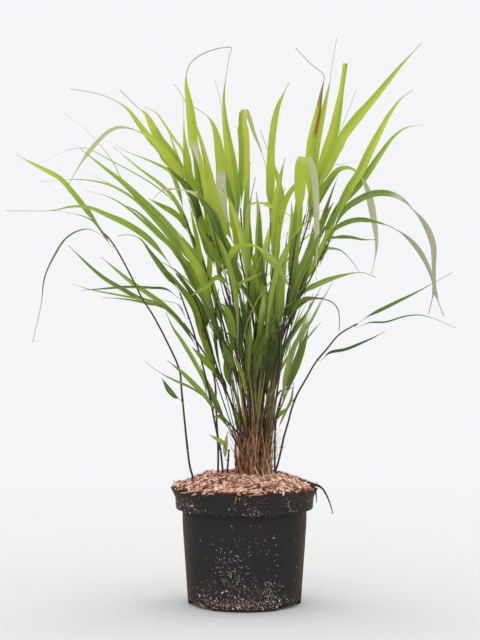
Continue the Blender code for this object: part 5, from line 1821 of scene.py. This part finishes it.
@dataclass
class Culm:
    """A culm's centre line, in millimetres, and its look.

    reddish, greening and fading give the start and the length of three changes of its
    tone with height.
    """

    RINGS = (-2.4, -1.2, -0.5, 0.3, 1.0, 1.8, 3.2)

    points: list[Vector]
    tone: float = 0.5
    samples: int = 81
    radius: float = CULM_RADIUS
    green: float = 0.0
    foot_tone: float = 0.04
    reddish: Pair = (180.0, 90.0)
    greening: Pair = (195.0, 50.0)
    fading: Pair = (255.0, 70.0)
    joint_gap: float = 62.0
    joint_swell: float = 0.28
    sheath_swell: float = 0.12
    sheath_length: float = 26.0
    joints: list[float] = field(default_factory=list)

    def __post_init__(self) -> None:
        """Samples the line."""
        self.line = curve_through(self.points, self.samples)
        self.length = lengths_to(self.line)[-1]
        self.tangents = tangents_of(self.line)

    def at(self, share: float) -> tuple[Vector, Vector]:
        """Finds a place on the culm.

        Args:
            share: The share of the culm's length.

        Returns:
            The place and the culm's direction there.
        """
        place = min(max(share, 0.0), 1.0) * (self.samples - 1)
        k = min(int(place), self.samples - 2)
        return (self.line[k].lerp(self.line[k + 1], place - k),
                self.tangents[k].lerp(self.tangents[k + 1], place - k).normalized())

    def share_near(self, x: float, z: float) -> float:
        """Finds where the culm passes a place that was traced.

        Args:
            x: Across.
            z: Height.

        Returns:
            The share of the culm's length.
        """
        best = min(range(len(self.line)),
                   key=lambda i: (self.line[i].x - x) ** 2 + (self.line[i].z - z) ** 2)
        share = best / (len(self.line) - 1)
        at_top = share > 0.985 or (self.line[-1] - self.line[best]).length < SOCKET / 2
        return 1.0 if at_top else share

    def nodes(self) -> list[float]:
        """Finds where the culm has a swollen ring node: at its joints and below them.

        Returns:
            The shares of its length.
        """
        shares = sorted(share for share in self.joints if share < 0.99)
        step = self.joint_gap / self.length
        place = (shares[0] if shares else 0.9) - step
        while place > 0.05:
            shares.append(place)
            place -= step
        return shares

    def swept(self, root: list[Vector]) -> Line:
        """The culm as a line to sweep.

        Args:
            root: Points that carry it down into the crown or the mulch.

        Returns:
            The line, with its rings close together at each node.
        """
        nodes = self.nodes()
        shares = set(evenly(41))
        for node in nodes:
            shares.update(min(max(node + off / self.length, 0.0), 1.0)
                          for off in self.RINGS)
        places, halves, pale, tones = [], [], [], []
        for share in sorted(shares):
            place, _ = self.at(share)
            if places and (place - places[-1]).length < 0.15:
                continue
            half = self.radius * (1.0 - 0.3 * share)
            ring = 0.0
            for node in nodes:
                off = (share - node) * self.length
                half *= 1.0 + self.joint_swell * math.exp(-((off - 0.3) / 1.0) ** 2)
                if 0.0 < off < self.sheath_length:
                    half *= 1.0 + self.sheath_swell * (1.0 - off / self.sheath_length)
                ring = max(ring, math.exp(-((off + 1.0) / 0.8) ** 2))
            places.append(place)
            halves.append(half)
            pale.append(0.75 * ring)
            near_top = smooth_step(share, 0.86, 0.14)
            tones.append(self.tone_at(place.z) + 0.22 * near_top)
        places = root + places
        halves = [self.radius] * len(root) + halves
        pale = [0.0] * len(root) + pale
        tones = [self.tone_at(150.0)] * len(root) + tones
        uppers = carried_sides(places, Vector((0.0, -1.0, 0.0)))
        marks = {"along": evenly(len(places)), "tone": tones, "pale": pale}
        return Line(Cut.ROUND, places, uppers, halves, marks)

    def tone_at(self, height: float) -> float:
        """The colour's place on the culm's ramp: redder low down, greener above.

        Args:
            height: The height above the floor.

        Returns:
            The place on the ramp.
        """
        low = smooth_step(height, *self.reddish)
        base = self.foot_tone + (0.50 - self.foot_tone) * low + 0.20 * (self.tone - 0.3)
        fading = 1.0 - 0.85 * smooth_step(height, *self.fading)
        return base + self.green * smooth_step(height, *self.greening) * fading


@dataclass
class Blade:
    """A blade's centre line, in millimetres, with how it turns and looks.

    lit, topmost and outer give the start and the length of three changes of its tone,
    two with height and one with distance from the crown. These are painted light and
    shade: lighter where light falls on the clump, darker within it.
    """

    points: list[Vector]
    adaxial: Vector
    hand: float
    trace: BladeTrace
    tone: float = 0.5
    samples: int = 41
    lit: Pair = (330.0, 230.0)
    topmost: Pair = (500.0, 110.0)
    outer: Pair = (45.0, 120.0)

    def __post_init__(self) -> None:
        """Samples the line and turns its upper side as the trace says."""
        self.line = curve_through(self.points, self.samples)
        self.length = lengths_to(self.line)[-1]
        sides = carried_sides(self.line, self.adaxial)
        self.uppers = []
        first = BLADE_FIRST_RING / self.length
        trace = self.trace
        for i, (tangent, upper) in enumerate(zip(tangents_of(self.line), sides)):
            share = i / (self.samples - 1)
            face = 90 + (trace.face - 90) * smooth_step(share, first, 0.2)
            face += (trace.turn - trace.face) * smooth_step(share, 0.3, 0.5)
            spin = Matrix.Rotation(math.radians(self.hand * (90 - face)), 3, tangent)
            self.uppers.append(spin @ upper)

    def width(self, share: float) -> float:
        """The blade's width.

        Args:
            share: The share of its length.

        Returns:
            The width.
        """
        trace = self.trace
        low = smooth_step(self.lit[0] - self.line[0].z, reach=50.0)
        reach = trace.foot + 0.24 * low if trace.path else 0.42
        foot = 0.26 + 0.74 * smooth_step(share, reach=reach)
        end = trace.thin or (0.86 if trace.thread else 0.99)
        start = end - (0.46 if not trace.thread or not trace.thin else 0.27)
        past = min(max(share - start, 0.0) / (end - start), 1.0)
        tip = 1.0 - past ** (1.1 if trace.thread and not trace.thin else 1.6)
        blunt = marked(trace.blunt, share)
        narrow = 1.0 - marked(trace.narrow, share)
        least = 2.3 - 0.8 * smooth_step(share, 0.0, 0.12) - 0.6 * smooth_step(share, 0.6, 0.4)
        return max(trace.width * foot * max(tip, blunt) * narrow, least)

    def split(self) -> float:
        """How much the blade's two halves differ in tone, painted shade as if one half of a fold
        lay in shadow; the sign says which is darker.
        """
        return 0.18 * ((self.tone * 9.7) % 1.0 - 0.5)

    def tip_dryness(self, share: float) -> float:
        """How withered the blade is at its tip.

        Args:
            share: The share of its length.

        Returns:
            0 to 0.4.
        """
        start = self.trace.thin_from()
        if start >= 1.0:
            return 0.0
        return 0.4 * smooth_step(share, start, 1.0 - start)

    def tone_at(self, place: Vector, share: float) -> float:
        """The colour's place on the blade's ramp, with painted light and shade: lime high up and
        outside the clump, dark within it and towards the blade's foot.

        Args:
            place: Where in the clump.
            share: The share of the blade's length.

        Returns:
            The place on the ramp.
        """
        # Painted light and shade: lighter with height and away from the crown, darker within the
        # clump and towards each blade's foot
        high = smooth_step(place.z, *self.lit)
        out = smooth_step(math.hypot(place.x - CROWN_X, 0.6 * place.y), *self.outer)
        top = smooth_step(place.z, *self.topmost)
        base = 0.30 + 0.45 * high * (1.0 - 0.5 * out) + (0.25 * top - 0.09) * out
        base += 0.06 * top + 0.16 * (smooth_step(share, 0.0, 0.45) - 0.7) + self.trace.tone
        base += 0.72 * (self.tone - 0.5) * (1.0 - 0.6 * out)
        base = min(max(base, 0.05), 0.85)
        thread = smooth_step(share, self.trace.thin_from(), 0.2)
        return min(base + marked(self.trace.lighter, share), 0.90) - 0.45 * thread * base

    def swept(self) -> Line:
        """The blade as a line to sweep.

        Returns:
            The line, with its marks.
        """
        trace, shares = self.trace, evenly(self.samples)
        washed = 1.5 * max(trace.tone - 0.2, 0.0)
        marks = {
            "along": shares,
            "tone": [self.tone_at(place, s) for place, s in zip(self.line, shares)],
            "pale": [marked(trace.pale, s) + washed for s in shares],
            "dry": [max(marked(trace.dry, s), self.tip_dryness(s)) for s in shares],
            "rust": [marked(trace.rust, s) for s in shares],
            "split": [self.split() + marked(trace.split, s) for s in shares],
        }
        halves = [0.5 * self.width(s) for s in shares]
        return Line(Cut.BLADE, self.line, self.uppers, halves, marks)


def off_side(foot: Vector, tangent: Vector, outward: Vector,
             places: Sequence[Vector]) -> list[Vector]:
    """The points of a blade that leaves a culm's side and not its top.

    Args:
        foot: The place on the culm's centre line.
        tangent: The culm's direction there.
        outward: The direction that the blade leaves in.
        places: The blade's places, from the culm to its tip.

    Returns:
        The points, which start inside the culm and bend at a knee.
    """
    knee = foot + outward * (CULM_RADIUS + KNEE_OUT) + tangent * KNEE_UP
    far = [place for place in places[1:] if (place - foot).length > KNEE_CLEAR]
    return [foot + outward * FOOT_INSIDE, knee] + far


def blade_points(culm: Culm, share: float,
                 trace: BladeTrace) -> tuple[list[Vector], Vector, float]:
    """A traced blade's points in depth, as the part's source sets them.

    Args:
        culm: The culm that it grows from.
        share: Where on the culm.
        trace: The blade's trace.

    Returns:
        The points, the upper side at the foot, and the side that it leaves to, 1 or -1.
    """
    foot, tangent = culm.at(share)
    path = trace.path
    reach = list(accumulate((math.dist(a, b) for a, b in pairwise(path)), initial=0.0))
    places = []
    for i, ((x, z), travelled) in enumerate(zip(path, reach)):
        depth = foot.y + trace.lean * travelled / reach[-1]
        if trace.fold is not None and i >= trace.fold:
            depth += FOLD_DROP_DEPTH * (0.5 if i == trace.fold else 1.0)
        places.append(seen_at(x, z, depth))
    sign = 1.0 if path[1][0] > path[0][0] else -1.0
    inward = Vector((0.0, 1.0, 0.0))
    if share >= 1.0:
        return [foot] + places[1:], sign * tangent.cross(inward), sign
    outward = inward.cross(tangent).normalized() * sign
    return off_side(foot, tangent, outward, places), tangent, sign


@dataclass
class GrassShoot:
    """One culm with its blades, grown as the CAD node of its name was."""

    name: str
    number: int
    on_mulch: bool = False
    culm: Culm | None = None
    blades: list[Blade] = field(default_factory=list)
    companions: list[Culm] = field(default_factory=list)
    root_drops: tuple[float, ...] = (48.0, 36.0, 24.0, 12.0)
    root_pull: float = 0.20
    buried: float = 6.0
    stem_foot: float = 170.0

    def chance(self, first_seed: int = 1000) -> random.Random:
        """A random stream of this shoot's own."""
        return random.Random(first_seed + self.number)

    def root(self) -> list[Vector]:
        """Points that carry the culm down into the crown, or into the mulch.

        Returns:
            The points, from the lowest up.
        """
        foot = self.culm.line[0]
        if self.on_mulch:
            return [foot - Vector((0.0, 0.0, self.buried))]
        points = []
        for drop in self.root_drops:
            pull = self.root_pull * drop / self.root_drops[0]
            points.append(Vector((foot.x + (CROWN_X - foot.x) * pull,
                                  foot.y * (1.0 - pull), foot.z - drop)))
        return points

    def add_companions(self) -> None:
        """Grows two thin young stems beside the culm, the first with an upright blade."""
        chance = self.chance(first_seed=5000)
        for bare in (False, True):
            top = chance.uniform(0.22, 0.62) + (0.25 if bare else 0.0)
            turn = chance.uniform(0.0, math.tau)
            reach = chance.uniform(6.0, 22.0)
            foot = Vector((CROWN_X + reach * math.cos(turn), reach * math.sin(turn),
                           self.stem_foot))
            aside = Vector((chance.gauss(0.0, 5.0), chance.gauss(0.0, 5.0), 0.0))
            points = [foot]
            for i in range(1, 7):
                share = i / 6
                near, _ = self.culm.at(top * share)
                points.append(foot.lerp(near + aside, share ** 0.7)
                              + Vector((0, 0, (near.z - foot.z) * (share - share ** 0.7))))
            stem = Culm(points, chance.random(), 41, chance.uniform(0.6, 1.05),
                        chance.uniform(0.0, 0.55))
            self.companions.append(stem)
            if bare:
                continue
            end, way = stem.at(1.0)
            length = chance.uniform(60.0, 125.0)
            out = Vector((chance.gauss(0.0, 0.22), chance.gauss(-0.08, 0.22), 0.0))
            blade = [end + (way * s + out * s * s) * length
                     for s in (0.0, 0.12, 0.3, 0.5, 0.7, 0.85, 1.0)]
            trace = BladeTrace(chance.uniform(4.0, 8.5), 90.0, chance.uniform(60.0, 110.0))
            turned_to = Vector((chance.gauss(0.0, 0.6), -1.0, 0.0))
            self.blades.append(Blade(blade, turned_to, 1.0, trace,
                                     chance.uniform(-0.15, 0.6)))

    def build(self, loom: Swept) -> Item:
        """Sweeps the shoot into one piece.

        Args:
            loom: What sweeps the lines.

        Returns:
            The piece.
        """
        lines = [self.culm.swept(self.root())]
        lines.extend(thin.swept([]) for thin in self.companions)
        lines.extend(blade.swept() for blade in self.blades)
        piece = loom.sweep(self.name.replace("shoot_", "grass_"), lines)
        settle(piece, "leaf", self.name)
        return piece


def traced_shoot(trace: ShootTrace, number: int) -> GrassShoot:
    """Lays out a traced shoot where its CAD node stands.

    Args:
        trace: The trace.
        number: The shoot's number.

    Returns:
        The shoot.
    """
    item = GrassShoot(trace.name, number, trace.on_mulch)
    chance = item.chance()
    item.culm = Culm(trace.points(), chance.random(),
                     green=0.0 if trace.on_mulch else chance.choice((0.0, 0.1, 0.4, 0.6)),
                     foot_tone=0.38 if trace.on_mulch else 0.04)
    for one in trace.leaves:
        share = item.culm.share_near(*one.path[0])
        if one.added:
            share = min(share, 0.98)
        else:
            item.culm.joints.append(share)
        points, upward, sign = blade_points(item.culm, share, one)
        item.blades.append(Blade(points, upward, sign, one, chance.random()))
    if not trace.on_mulch:
        item.add_companions()
    return item


def ruled_blade(culm: Culm, angle: float, k: int, order: int,
                swung: Pair) -> tuple[list[Vector], Vector]:
    """The points of a blade of the clump's inside, as the part's source sets them.

    Args:
        culm: The culm that it grows from.
        angle: The compass angle of the culm's lean, in degrees.
        k: The blade's number from the top.
        order: The shoot's number among its kind.
        swung: How far the blade is swung and tilted, in degrees.

    Returns:
        The points and the blade's upper side at its foot.
    """
    side = (-1) ** (k + order) * INNER_SIDE_ANGLE * (0.25 if k == 0 else 1.0)
    out = level(math.radians(angle + side))
    length = INNER_BLADE_LENGTH * (1.0 - 0.09 * k)
    start = INNER_FIRST_CLIMB - 5.0 * k
    points = [Vector((0.0, 0.0, 0.0))]
    for i in range(6):
        climb = math.radians(start + (INNER_LAST_CLIMB - start) * i / 5)
        step = out * math.cos(climb) + Vector((0.0, 0.0, math.sin(climb)))
        points.append(points[-1] + step * length / 6)
    foot, tangent = culm.at(1.0 - INNER_STEP * k)
    tilt = Matrix.Rotation(math.radians(swung[1]), 3, out.cross(Vector((0, 0, 1))))
    swing = Matrix.Rotation(math.radians(swung[0]), 3, "Z") @ tilt
    away = swing @ out
    places = [foot + swing @ point for point in points]
    if k == 0:
        return places, (-away - tangent * -away.dot(tangent)).normalized()
    flat = (Vector((1, 0, 0)), Vector((0, 1, 0)), Vector((-1, 0, 0)), Vector((0, -1, 0)))
    outward = max(flat, key=away.dot)
    outward = (outward - tangent * outward.dot(tangent)).normalized()
    return off_side(foot, tangent, outward, places), tangent


def ruled_shoot(order: int, name: str, angle: float, radius: float, height: float,
                lean: float, swings: Sequence[Pair]) -> GrassShoot:
    """Lays out a shoot of the clump's inside where its CAD node stands.

    Args:
        order: The shoot's number among its kind.
        name: The CAD node's name, without its first word.
        angle: The compass angle that it leans to, in degrees.
        radius: How far from the crown's middle it stands.
        height: The culm's height above the crown.
        lean: How far the culm's top leans out.
        swings: How far each blade is swung and tilted, in degrees.

    Returns:
        The shoot.
    """
    item = GrassShoot(f"shoot_{name}", 100 + order)
    chance = item.chance()
    way = level(math.radians(angle))
    foot = Vector((CROWN_X, 0.0, CROWN_TOP + GAP)) + way * radius
    points = [foot + way * lean * (i / 5) ** 1.8 + Vector((0.0, 0.0, height * i / 5))
              for i in range(6)]
    item.culm = Culm(points, chance.random(), green=chance.choice((0.1, 0.4, 0.5)))
    for k, swung in enumerate(swings):
        item.culm.joints.append(1.0 - INNER_STEP * k)
        points, upward = ruled_blade(item.culm, angle, k, order, swung)
        trace = BladeTrace((INNER_BLADE_WIDTH - k) * chance.uniform(0.55, 0.85), 90.0,
                           90.0, thin=0.97)
        item.blades.append(Blade(points, upward, 1.0, trace, chance.random()))
    item.add_companions()
    return item


@dataclass
class GrassClump:
    """All the shoots: those traced from the front, and those that fill the inside."""

    culm_finish: CulmFinish = CulmFinish("culm", roughness=0.60, specular=0.22)
    blade_finish: BladeFinish = BladeFinish("leaf_blade", roughness=0.46, specular=0.35)

    def build(self) -> list[Item]:
        """Makes one piece for each shoot.

        Returns:
            The pieces.
        """
        loom = Swept({Cut.ROUND: self.culm_finish.build(),
                      Cut.BLADE: self.blade_finish.build()})
        shoots = [traced_shoot(trace, number) for number, trace in enumerate(SHOOTS)]
        shoots += [ruled_shoot(order, *row) for order, row in enumerate(INNER_SHOOTS)]
        return [item.build(loom) for item in shoots]


@dataclass
class Crown:
    """The bundle of old sheaths, stumps and fibres that the shoots rise from."""

    sheaths: int = 190
    stumps: int = 34
    fibres: int = 130
    rings: int = 13
    base: float = 163.0
    shortest: float = 24.0
    spread: float = 66.0
    tallest: float = 92.0
    tall_share: float = 0.05
    green_share: float = 0.17
    thinned_from: float = 8.5
    thinned_share: float = 0.7
    thinned_height: float = 0.35
    roots: tuple[tuple[Pair, Pair, float, float], ...] = (
        ((13, 178), (22, 157), 1.1, 0.85), ((22, 176), (25, 160), 0.9, 0.78),
        ((3, 174), (8, 154), 1.2, 0.30), ((31, 174), (26, 160), 0.8, 0.70),
        ((-3, 172), (-10, 159), 0.8, 0.55), ((36, 172), (45, 163), 0.7, 0.80),
        ((9, 184), (10, 160), 0.9, 0.60), ((28, 188), (33, 164), 0.7, 0.88),
    )
    sheath_finish: SheathFinish = SheathFinish("old_sheath", roughness=0.85)
    fibre_finish: SheathFinish = SheathFinish("root_fibre", roughness=0.9, fibres=3.0)

    def strand(self, chance: random.Random, cut: Cut) -> Line:
        """One sheath or stump, standing nearly upright in the bundle.

        Args:
            chance: The bundle's random stream.
            cut: SHEATH, or ROUND for a stump.

        Returns:
            The line.
        """
        reach = CROWN_RADIUS * math.sqrt(chance.uniform(0.05, 1.0))
        turn = chance.uniform(0.0, math.tau)
        out = level(turn)
        foot = Vector((CROWN_X + chance.gauss(0.0, 1.2), 0.0, self.base)) + out * reach * 0.95
        tall = self.shortest + self.spread * chance.random() ** 1.9
        if chance.random() < self.tall_share:
            tall = self.tallest
        at_right = foot.x > CROWN_X + self.thinned_from
        if at_right and cut is Cut.SHEATH and chance.random() < self.thinned_share:
            tall *= self.thinned_height
        flare = chance.gauss(0.4, 2.4) + reach * 0.0022 * tall
        sway = Vector((-out.y, out.x, 0.0)) * chance.gauss(0.0, 0.08) * tall
        points = []
        for i in range(7):
            share = i / 6
            wander = Vector((chance.gauss(0, 0.9), chance.gauss(0, 0.9), 0.0))
            points.append(foot + out * flare * share ** 1.5 + sway * share
                          + wander + Vector((0.0, 0.0, tall * share)))
        if cut is Cut.SHEATH:
            width = chance.uniform(0.8, 2.3)
            halves = [width * (1.0 - 0.8 * s ** 1.8) for s in evenly(self.rings)]
            tone = min(max(chance.gauss(0.55, 0.24), 0.05), 0.90)
            if foot.x > CROWN_X and chance.random() < self.green_share:
                tone = 1.0
        else:
            width = chance.uniform(0.7, 1.2)
            halves = [width] * self.rings
            tone = chance.uniform(0.10, 0.60)
        spin = Matrix.Rotation(chance.gauss(0.0, 0.6), 3, "Z")
        return plain_line(cut, points, spin @ -out, halves, tone, turn)

    def fibre(self, chance: random.Random) -> Line:
        """One loose fibre, hanging about the bundle.

        Args:
            chance: The bundle's random stream.

        Returns:
            The line.
        """
        turn = chance.uniform(-2.9, -0.2) if chance.random() < 0.7 else chance.uniform(0, 3)
        out = level(turn)
        place = Vector((CROWN_X, 0.0, chance.uniform(168.0, 205.0)))
        place += out * (CROWN_RADIUS + chance.uniform(-3.0, 1.5))
        heading = Vector((chance.gauss(0, 0.25), chance.gauss(0, 0.25), 1.0))
        heading += out * chance.uniform(-0.05, 0.25)
        points = [place]
        for _ in range(6):
            heading += Vector((chance.gauss(0, 0.12), chance.gauss(0, 0.12), 0.0))
            points.append(points[-1] + heading.normalized() * chance.uniform(3.0, 8.0))
        width = chance.uniform(0.18, 0.42)
        halves = [width * (1.0 - 0.6 * i / (self.rings - 1)) for i in range(self.rings)]
        tone = chance.choice((0.35, 0.5, 0.66, 0.8, 0.9, 0.98))
        return plain_line(Cut.ROUND, points, -out, halves, tone)

    def splayed(self, top: Pair, foot: Pair, half: float, tone: float) -> Line:
        """A broken stub at the bundle's front that leans out over the mulch.

        Args:
            top: x and z of its upper end.
            foot: x and z of its lower end.
            half: Half its thickness.
            tone: Its colour's place on the ramp.

        Returns:
            The line.
        """
        front = -CROWN_RADIUS
        ends = (Vector((top[0], front + 1.0, top[1])), Vector((foot[0], front - 9.0, foot[1])))
        middle = ends[0].lerp(ends[1], 0.5) + Vector((0.8, 0.5, -0.8))
        return plain_line(Cut.ROUND, (ends[0], middle, ends[1]), Vector((0.0, -1.0, 0.2)),
                          [half] * self.rings, tone)

    def build(self) -> Item:
        """Makes the bundle as one piece.

        Returns:
            The piece.
        """
        chance = random.Random(21)
        loom = Swept({Cut.SHEATH: self.sheath_finish.build(),
                      Cut.ROUND: self.fibre_finish.build()})
        lines = [self.strand(chance, Cut.SHEATH) for _ in range(self.sheaths)]
        lines.extend(self.strand(chance, Cut.ROUND) for _ in range(self.stumps))
        lines.extend(self.fibre(chance) for _ in range(self.fibres))
        lines.extend(self.splayed(*row) for row in self.roots)
        piece = loom.sweep("crown_bundle", lines)
        settle(piece, "old_sheaths", "crown_of_sheaths")
        return piece


@dataclass
class RimStrands:
    """The dried strands that hang over the rim, and the pale fibres on the band."""

    finish: SheathFinish = SheathFinish("dried_strand_leaf", roughness=0.8, fibres=4.0)

    def strand(self, points: Sequence[Triple], half: float,
               tone: float, cut: Cut = Cut.ROUND) -> Line:
        """A strand, thinner towards its end.

        Args:
            points: Its places, from its root.
            half: Half its thickness.
            tone: Its colour's place on the ramp.
            cut: Its cross-section.

        Returns:
            The line.
        """
        halves = [half * (1.0 - 0.7 * share ** 1.5) for share in evenly(25)]
        return plain_line(cut, points, Vector((0.3, -1.0, 0.2)), halves, tone)

    def build(self) -> Item:
        """Makes the strands as one piece.

        Returns:
            The piece.
        """
        finish = self.finish.build()
        loom = Swept({Cut.ROUND: finish, Cut.BLADE: finish, Cut.SHEATH: finish})
        lines = [
            self.strand(((80, -22, 158.6), (88, -26, 156.2), (95, -28, 154.4),
                         (101, -29, 148.5), (106, -30, 139), (110, -31, 128),
                         (112.5, -31, 119)), 1.5, 0.0, Cut.SHEATH),
            self.strand(((84, -34, 156), (88.5, -37, 153.5), (90.5, -38, 147),
                         (91.2, -38, 139), (91.0, -38, 134)), 1.2, 0.0, Cut.SHEATH),
            self.strand(((54.6, -71.2, 142), (55.5, -70.6, 135), (57.5, -69.0, 130),
                         (60.5, -66.6, 127), (64.0, -63.5, 127.5)), 0.42, 0.86),
            self.strand(((-10, -94.4, 148), (-11.0, -93.6, 144), (-12.2, -92.4, 139)),
                        0.5, 0.84),
        ]
        piece = loom.sweep("rim_strands", lines)
        settle(piece, "dry_leaf", "dried_strand")
        return piece


@dataclass
class PottingSoil:
    """The soil in the pot, which keeps its CAD shape and gets its finish."""

    finish: MouldFinish = MouldFinish("potting_soil_crumb", roughness=0.95,
                                      dark=(0.012, 0.008, 0.006),
                                      light=(0.060, 0.040, 0.028), grain=260.0)

    def dress(self) -> None:
        """Gives the CAD node its material."""
        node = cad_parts["potting_soil"]
        material = self.finish.build()
        if not node.material_slots:
            node.data.materials.append(material)
        for place in node.material_slots:
            place.material = material
        log.info("potting_soil: dressed")


@dataclass
class Studio:
    """The plain pale floor, the soft lights and the camera."""

    floor_size: float = 60.0
    finish: StudioFinish = StudioFinish("studio_paper", roughness=0.9)
    eye: Triple = (0.0, -2.6, 0.45)
    target: Triple = (-0.0058, 0.0, 0.365)
    lens: float = 114.0
    lit: Triple = (0.0, 0.0, 0.35)

    def floor(self) -> None:
        """Lays the floor."""
        half = self.floor_size / 2
        mesh = bpy.data.meshes.new("studio_floor")
        mesh.from_pydata([(-half, -half, 0.0), (half, -half, 0.0), (half, half, 0.0),
                          (-half, half, 0.0)], [], [(0, 1, 2, 3)])
        mesh.materials.append(self.finish.build())
        placed("studio_floor", mesh)

    def light(self, name: str, place: Triple, size: float,
              power: float, colour: Colour = (1.0, 1.0, 1.0)) -> None:
        """Hangs one soft square light that faces the plant.

        Args:
            name: The light's name.
            place: Where it hangs.
            size: Its side.
            power: Its power in watts.
            colour: Its colour.
        """
        lamp = bpy.data.lights.new(name, "AREA")
        lamp.shape = "SQUARE"
        lamp.size = size
        lamp.energy = power
        lamp.color = colour
        self.aim(placed(name, lamp), place, self.lit)

    def aim(self, item: Item, place: Sequence[float],
            target: Sequence[float]) -> None:
        """Puts a light or a camera in its place.

        Args:
            item: The light or the camera.
            place: Its place.
            target: The place that it faces.
        """
        item.location = place
        way = Vector(target) - Vector(place)
        item.rotation_euler = way.to_track_quat("-Z", "Y").to_euler()

    def lights(self) -> None:
        """Hangs the lights and makes the air bright."""
        self.light("overhead", (0.0, 0.2, 2.6), 2.2, 22.0)
        self.light("back_left", (-1.8, 1.2, 1.2), 1.4, 9.0, (1.0, 0.93, 0.86))
        self.light("back_right", (1.8, 1.2, 1.2), 1.4, 11.0, (1.0, 0.93, 0.86))
        self.light("front_fill", (-0.9, -2.6, 1.6), 1.8, 8.0)
        world = bpy.data.worlds.new("studio_air")
        world.use_nodes = True
        air = world.node_tree.nodes["Background"]
        air.inputs["Color"].default_value = four(self.finish.air)
        air.inputs["Strength"].default_value = 1.0
        bpy.context.scene.world = world

    def camera(self) -> None:
        """Sets the camera where the plant was seen from."""
        data = bpy.data.cameras.new("seen_from")
        data.sensor_width = 36.0
        data.lens = self.lens
        camera = placed("seen_from", data)
        self.aim(camera, self.eye, self.target)
        bpy.context.scene.camera = camera

    def build(self) -> None:
        """Makes the whole studio."""
        self.floor()
        self.lights()
        self.camera()
        bpy.context.scene.view_settings.view_transform = "Standard"


def main() -> None:
    """Builds every class in order."""
    logging.basicConfig(level=logging.INFO, format="%(name)s: %(message)s")
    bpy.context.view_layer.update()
    Studio().build()
    NurseryPot().build()
    PotLitter().build()
    PotLitter(name="pot_litter_coarse", seed=9, per_square_metre=45000.0,
              band_all_round=0.03, body_all_round=0.003, patches=COARSE_LITTER,
              smallest=(0.0012, 0.0007, 0.0004), largest=(0.0042, 0.0015, 0.0007),
              finish=ChipFinish("coarse_crumbs", roughness=0.85)).build()
    PottingSoil().dress()
    BarkMulch().build()
    Crown().build()
    RimStrands().build()
    pieces = GrassClump().build()
    log.info("%d shoots", len(pieces))


if __name__ == "__main__":
    main()
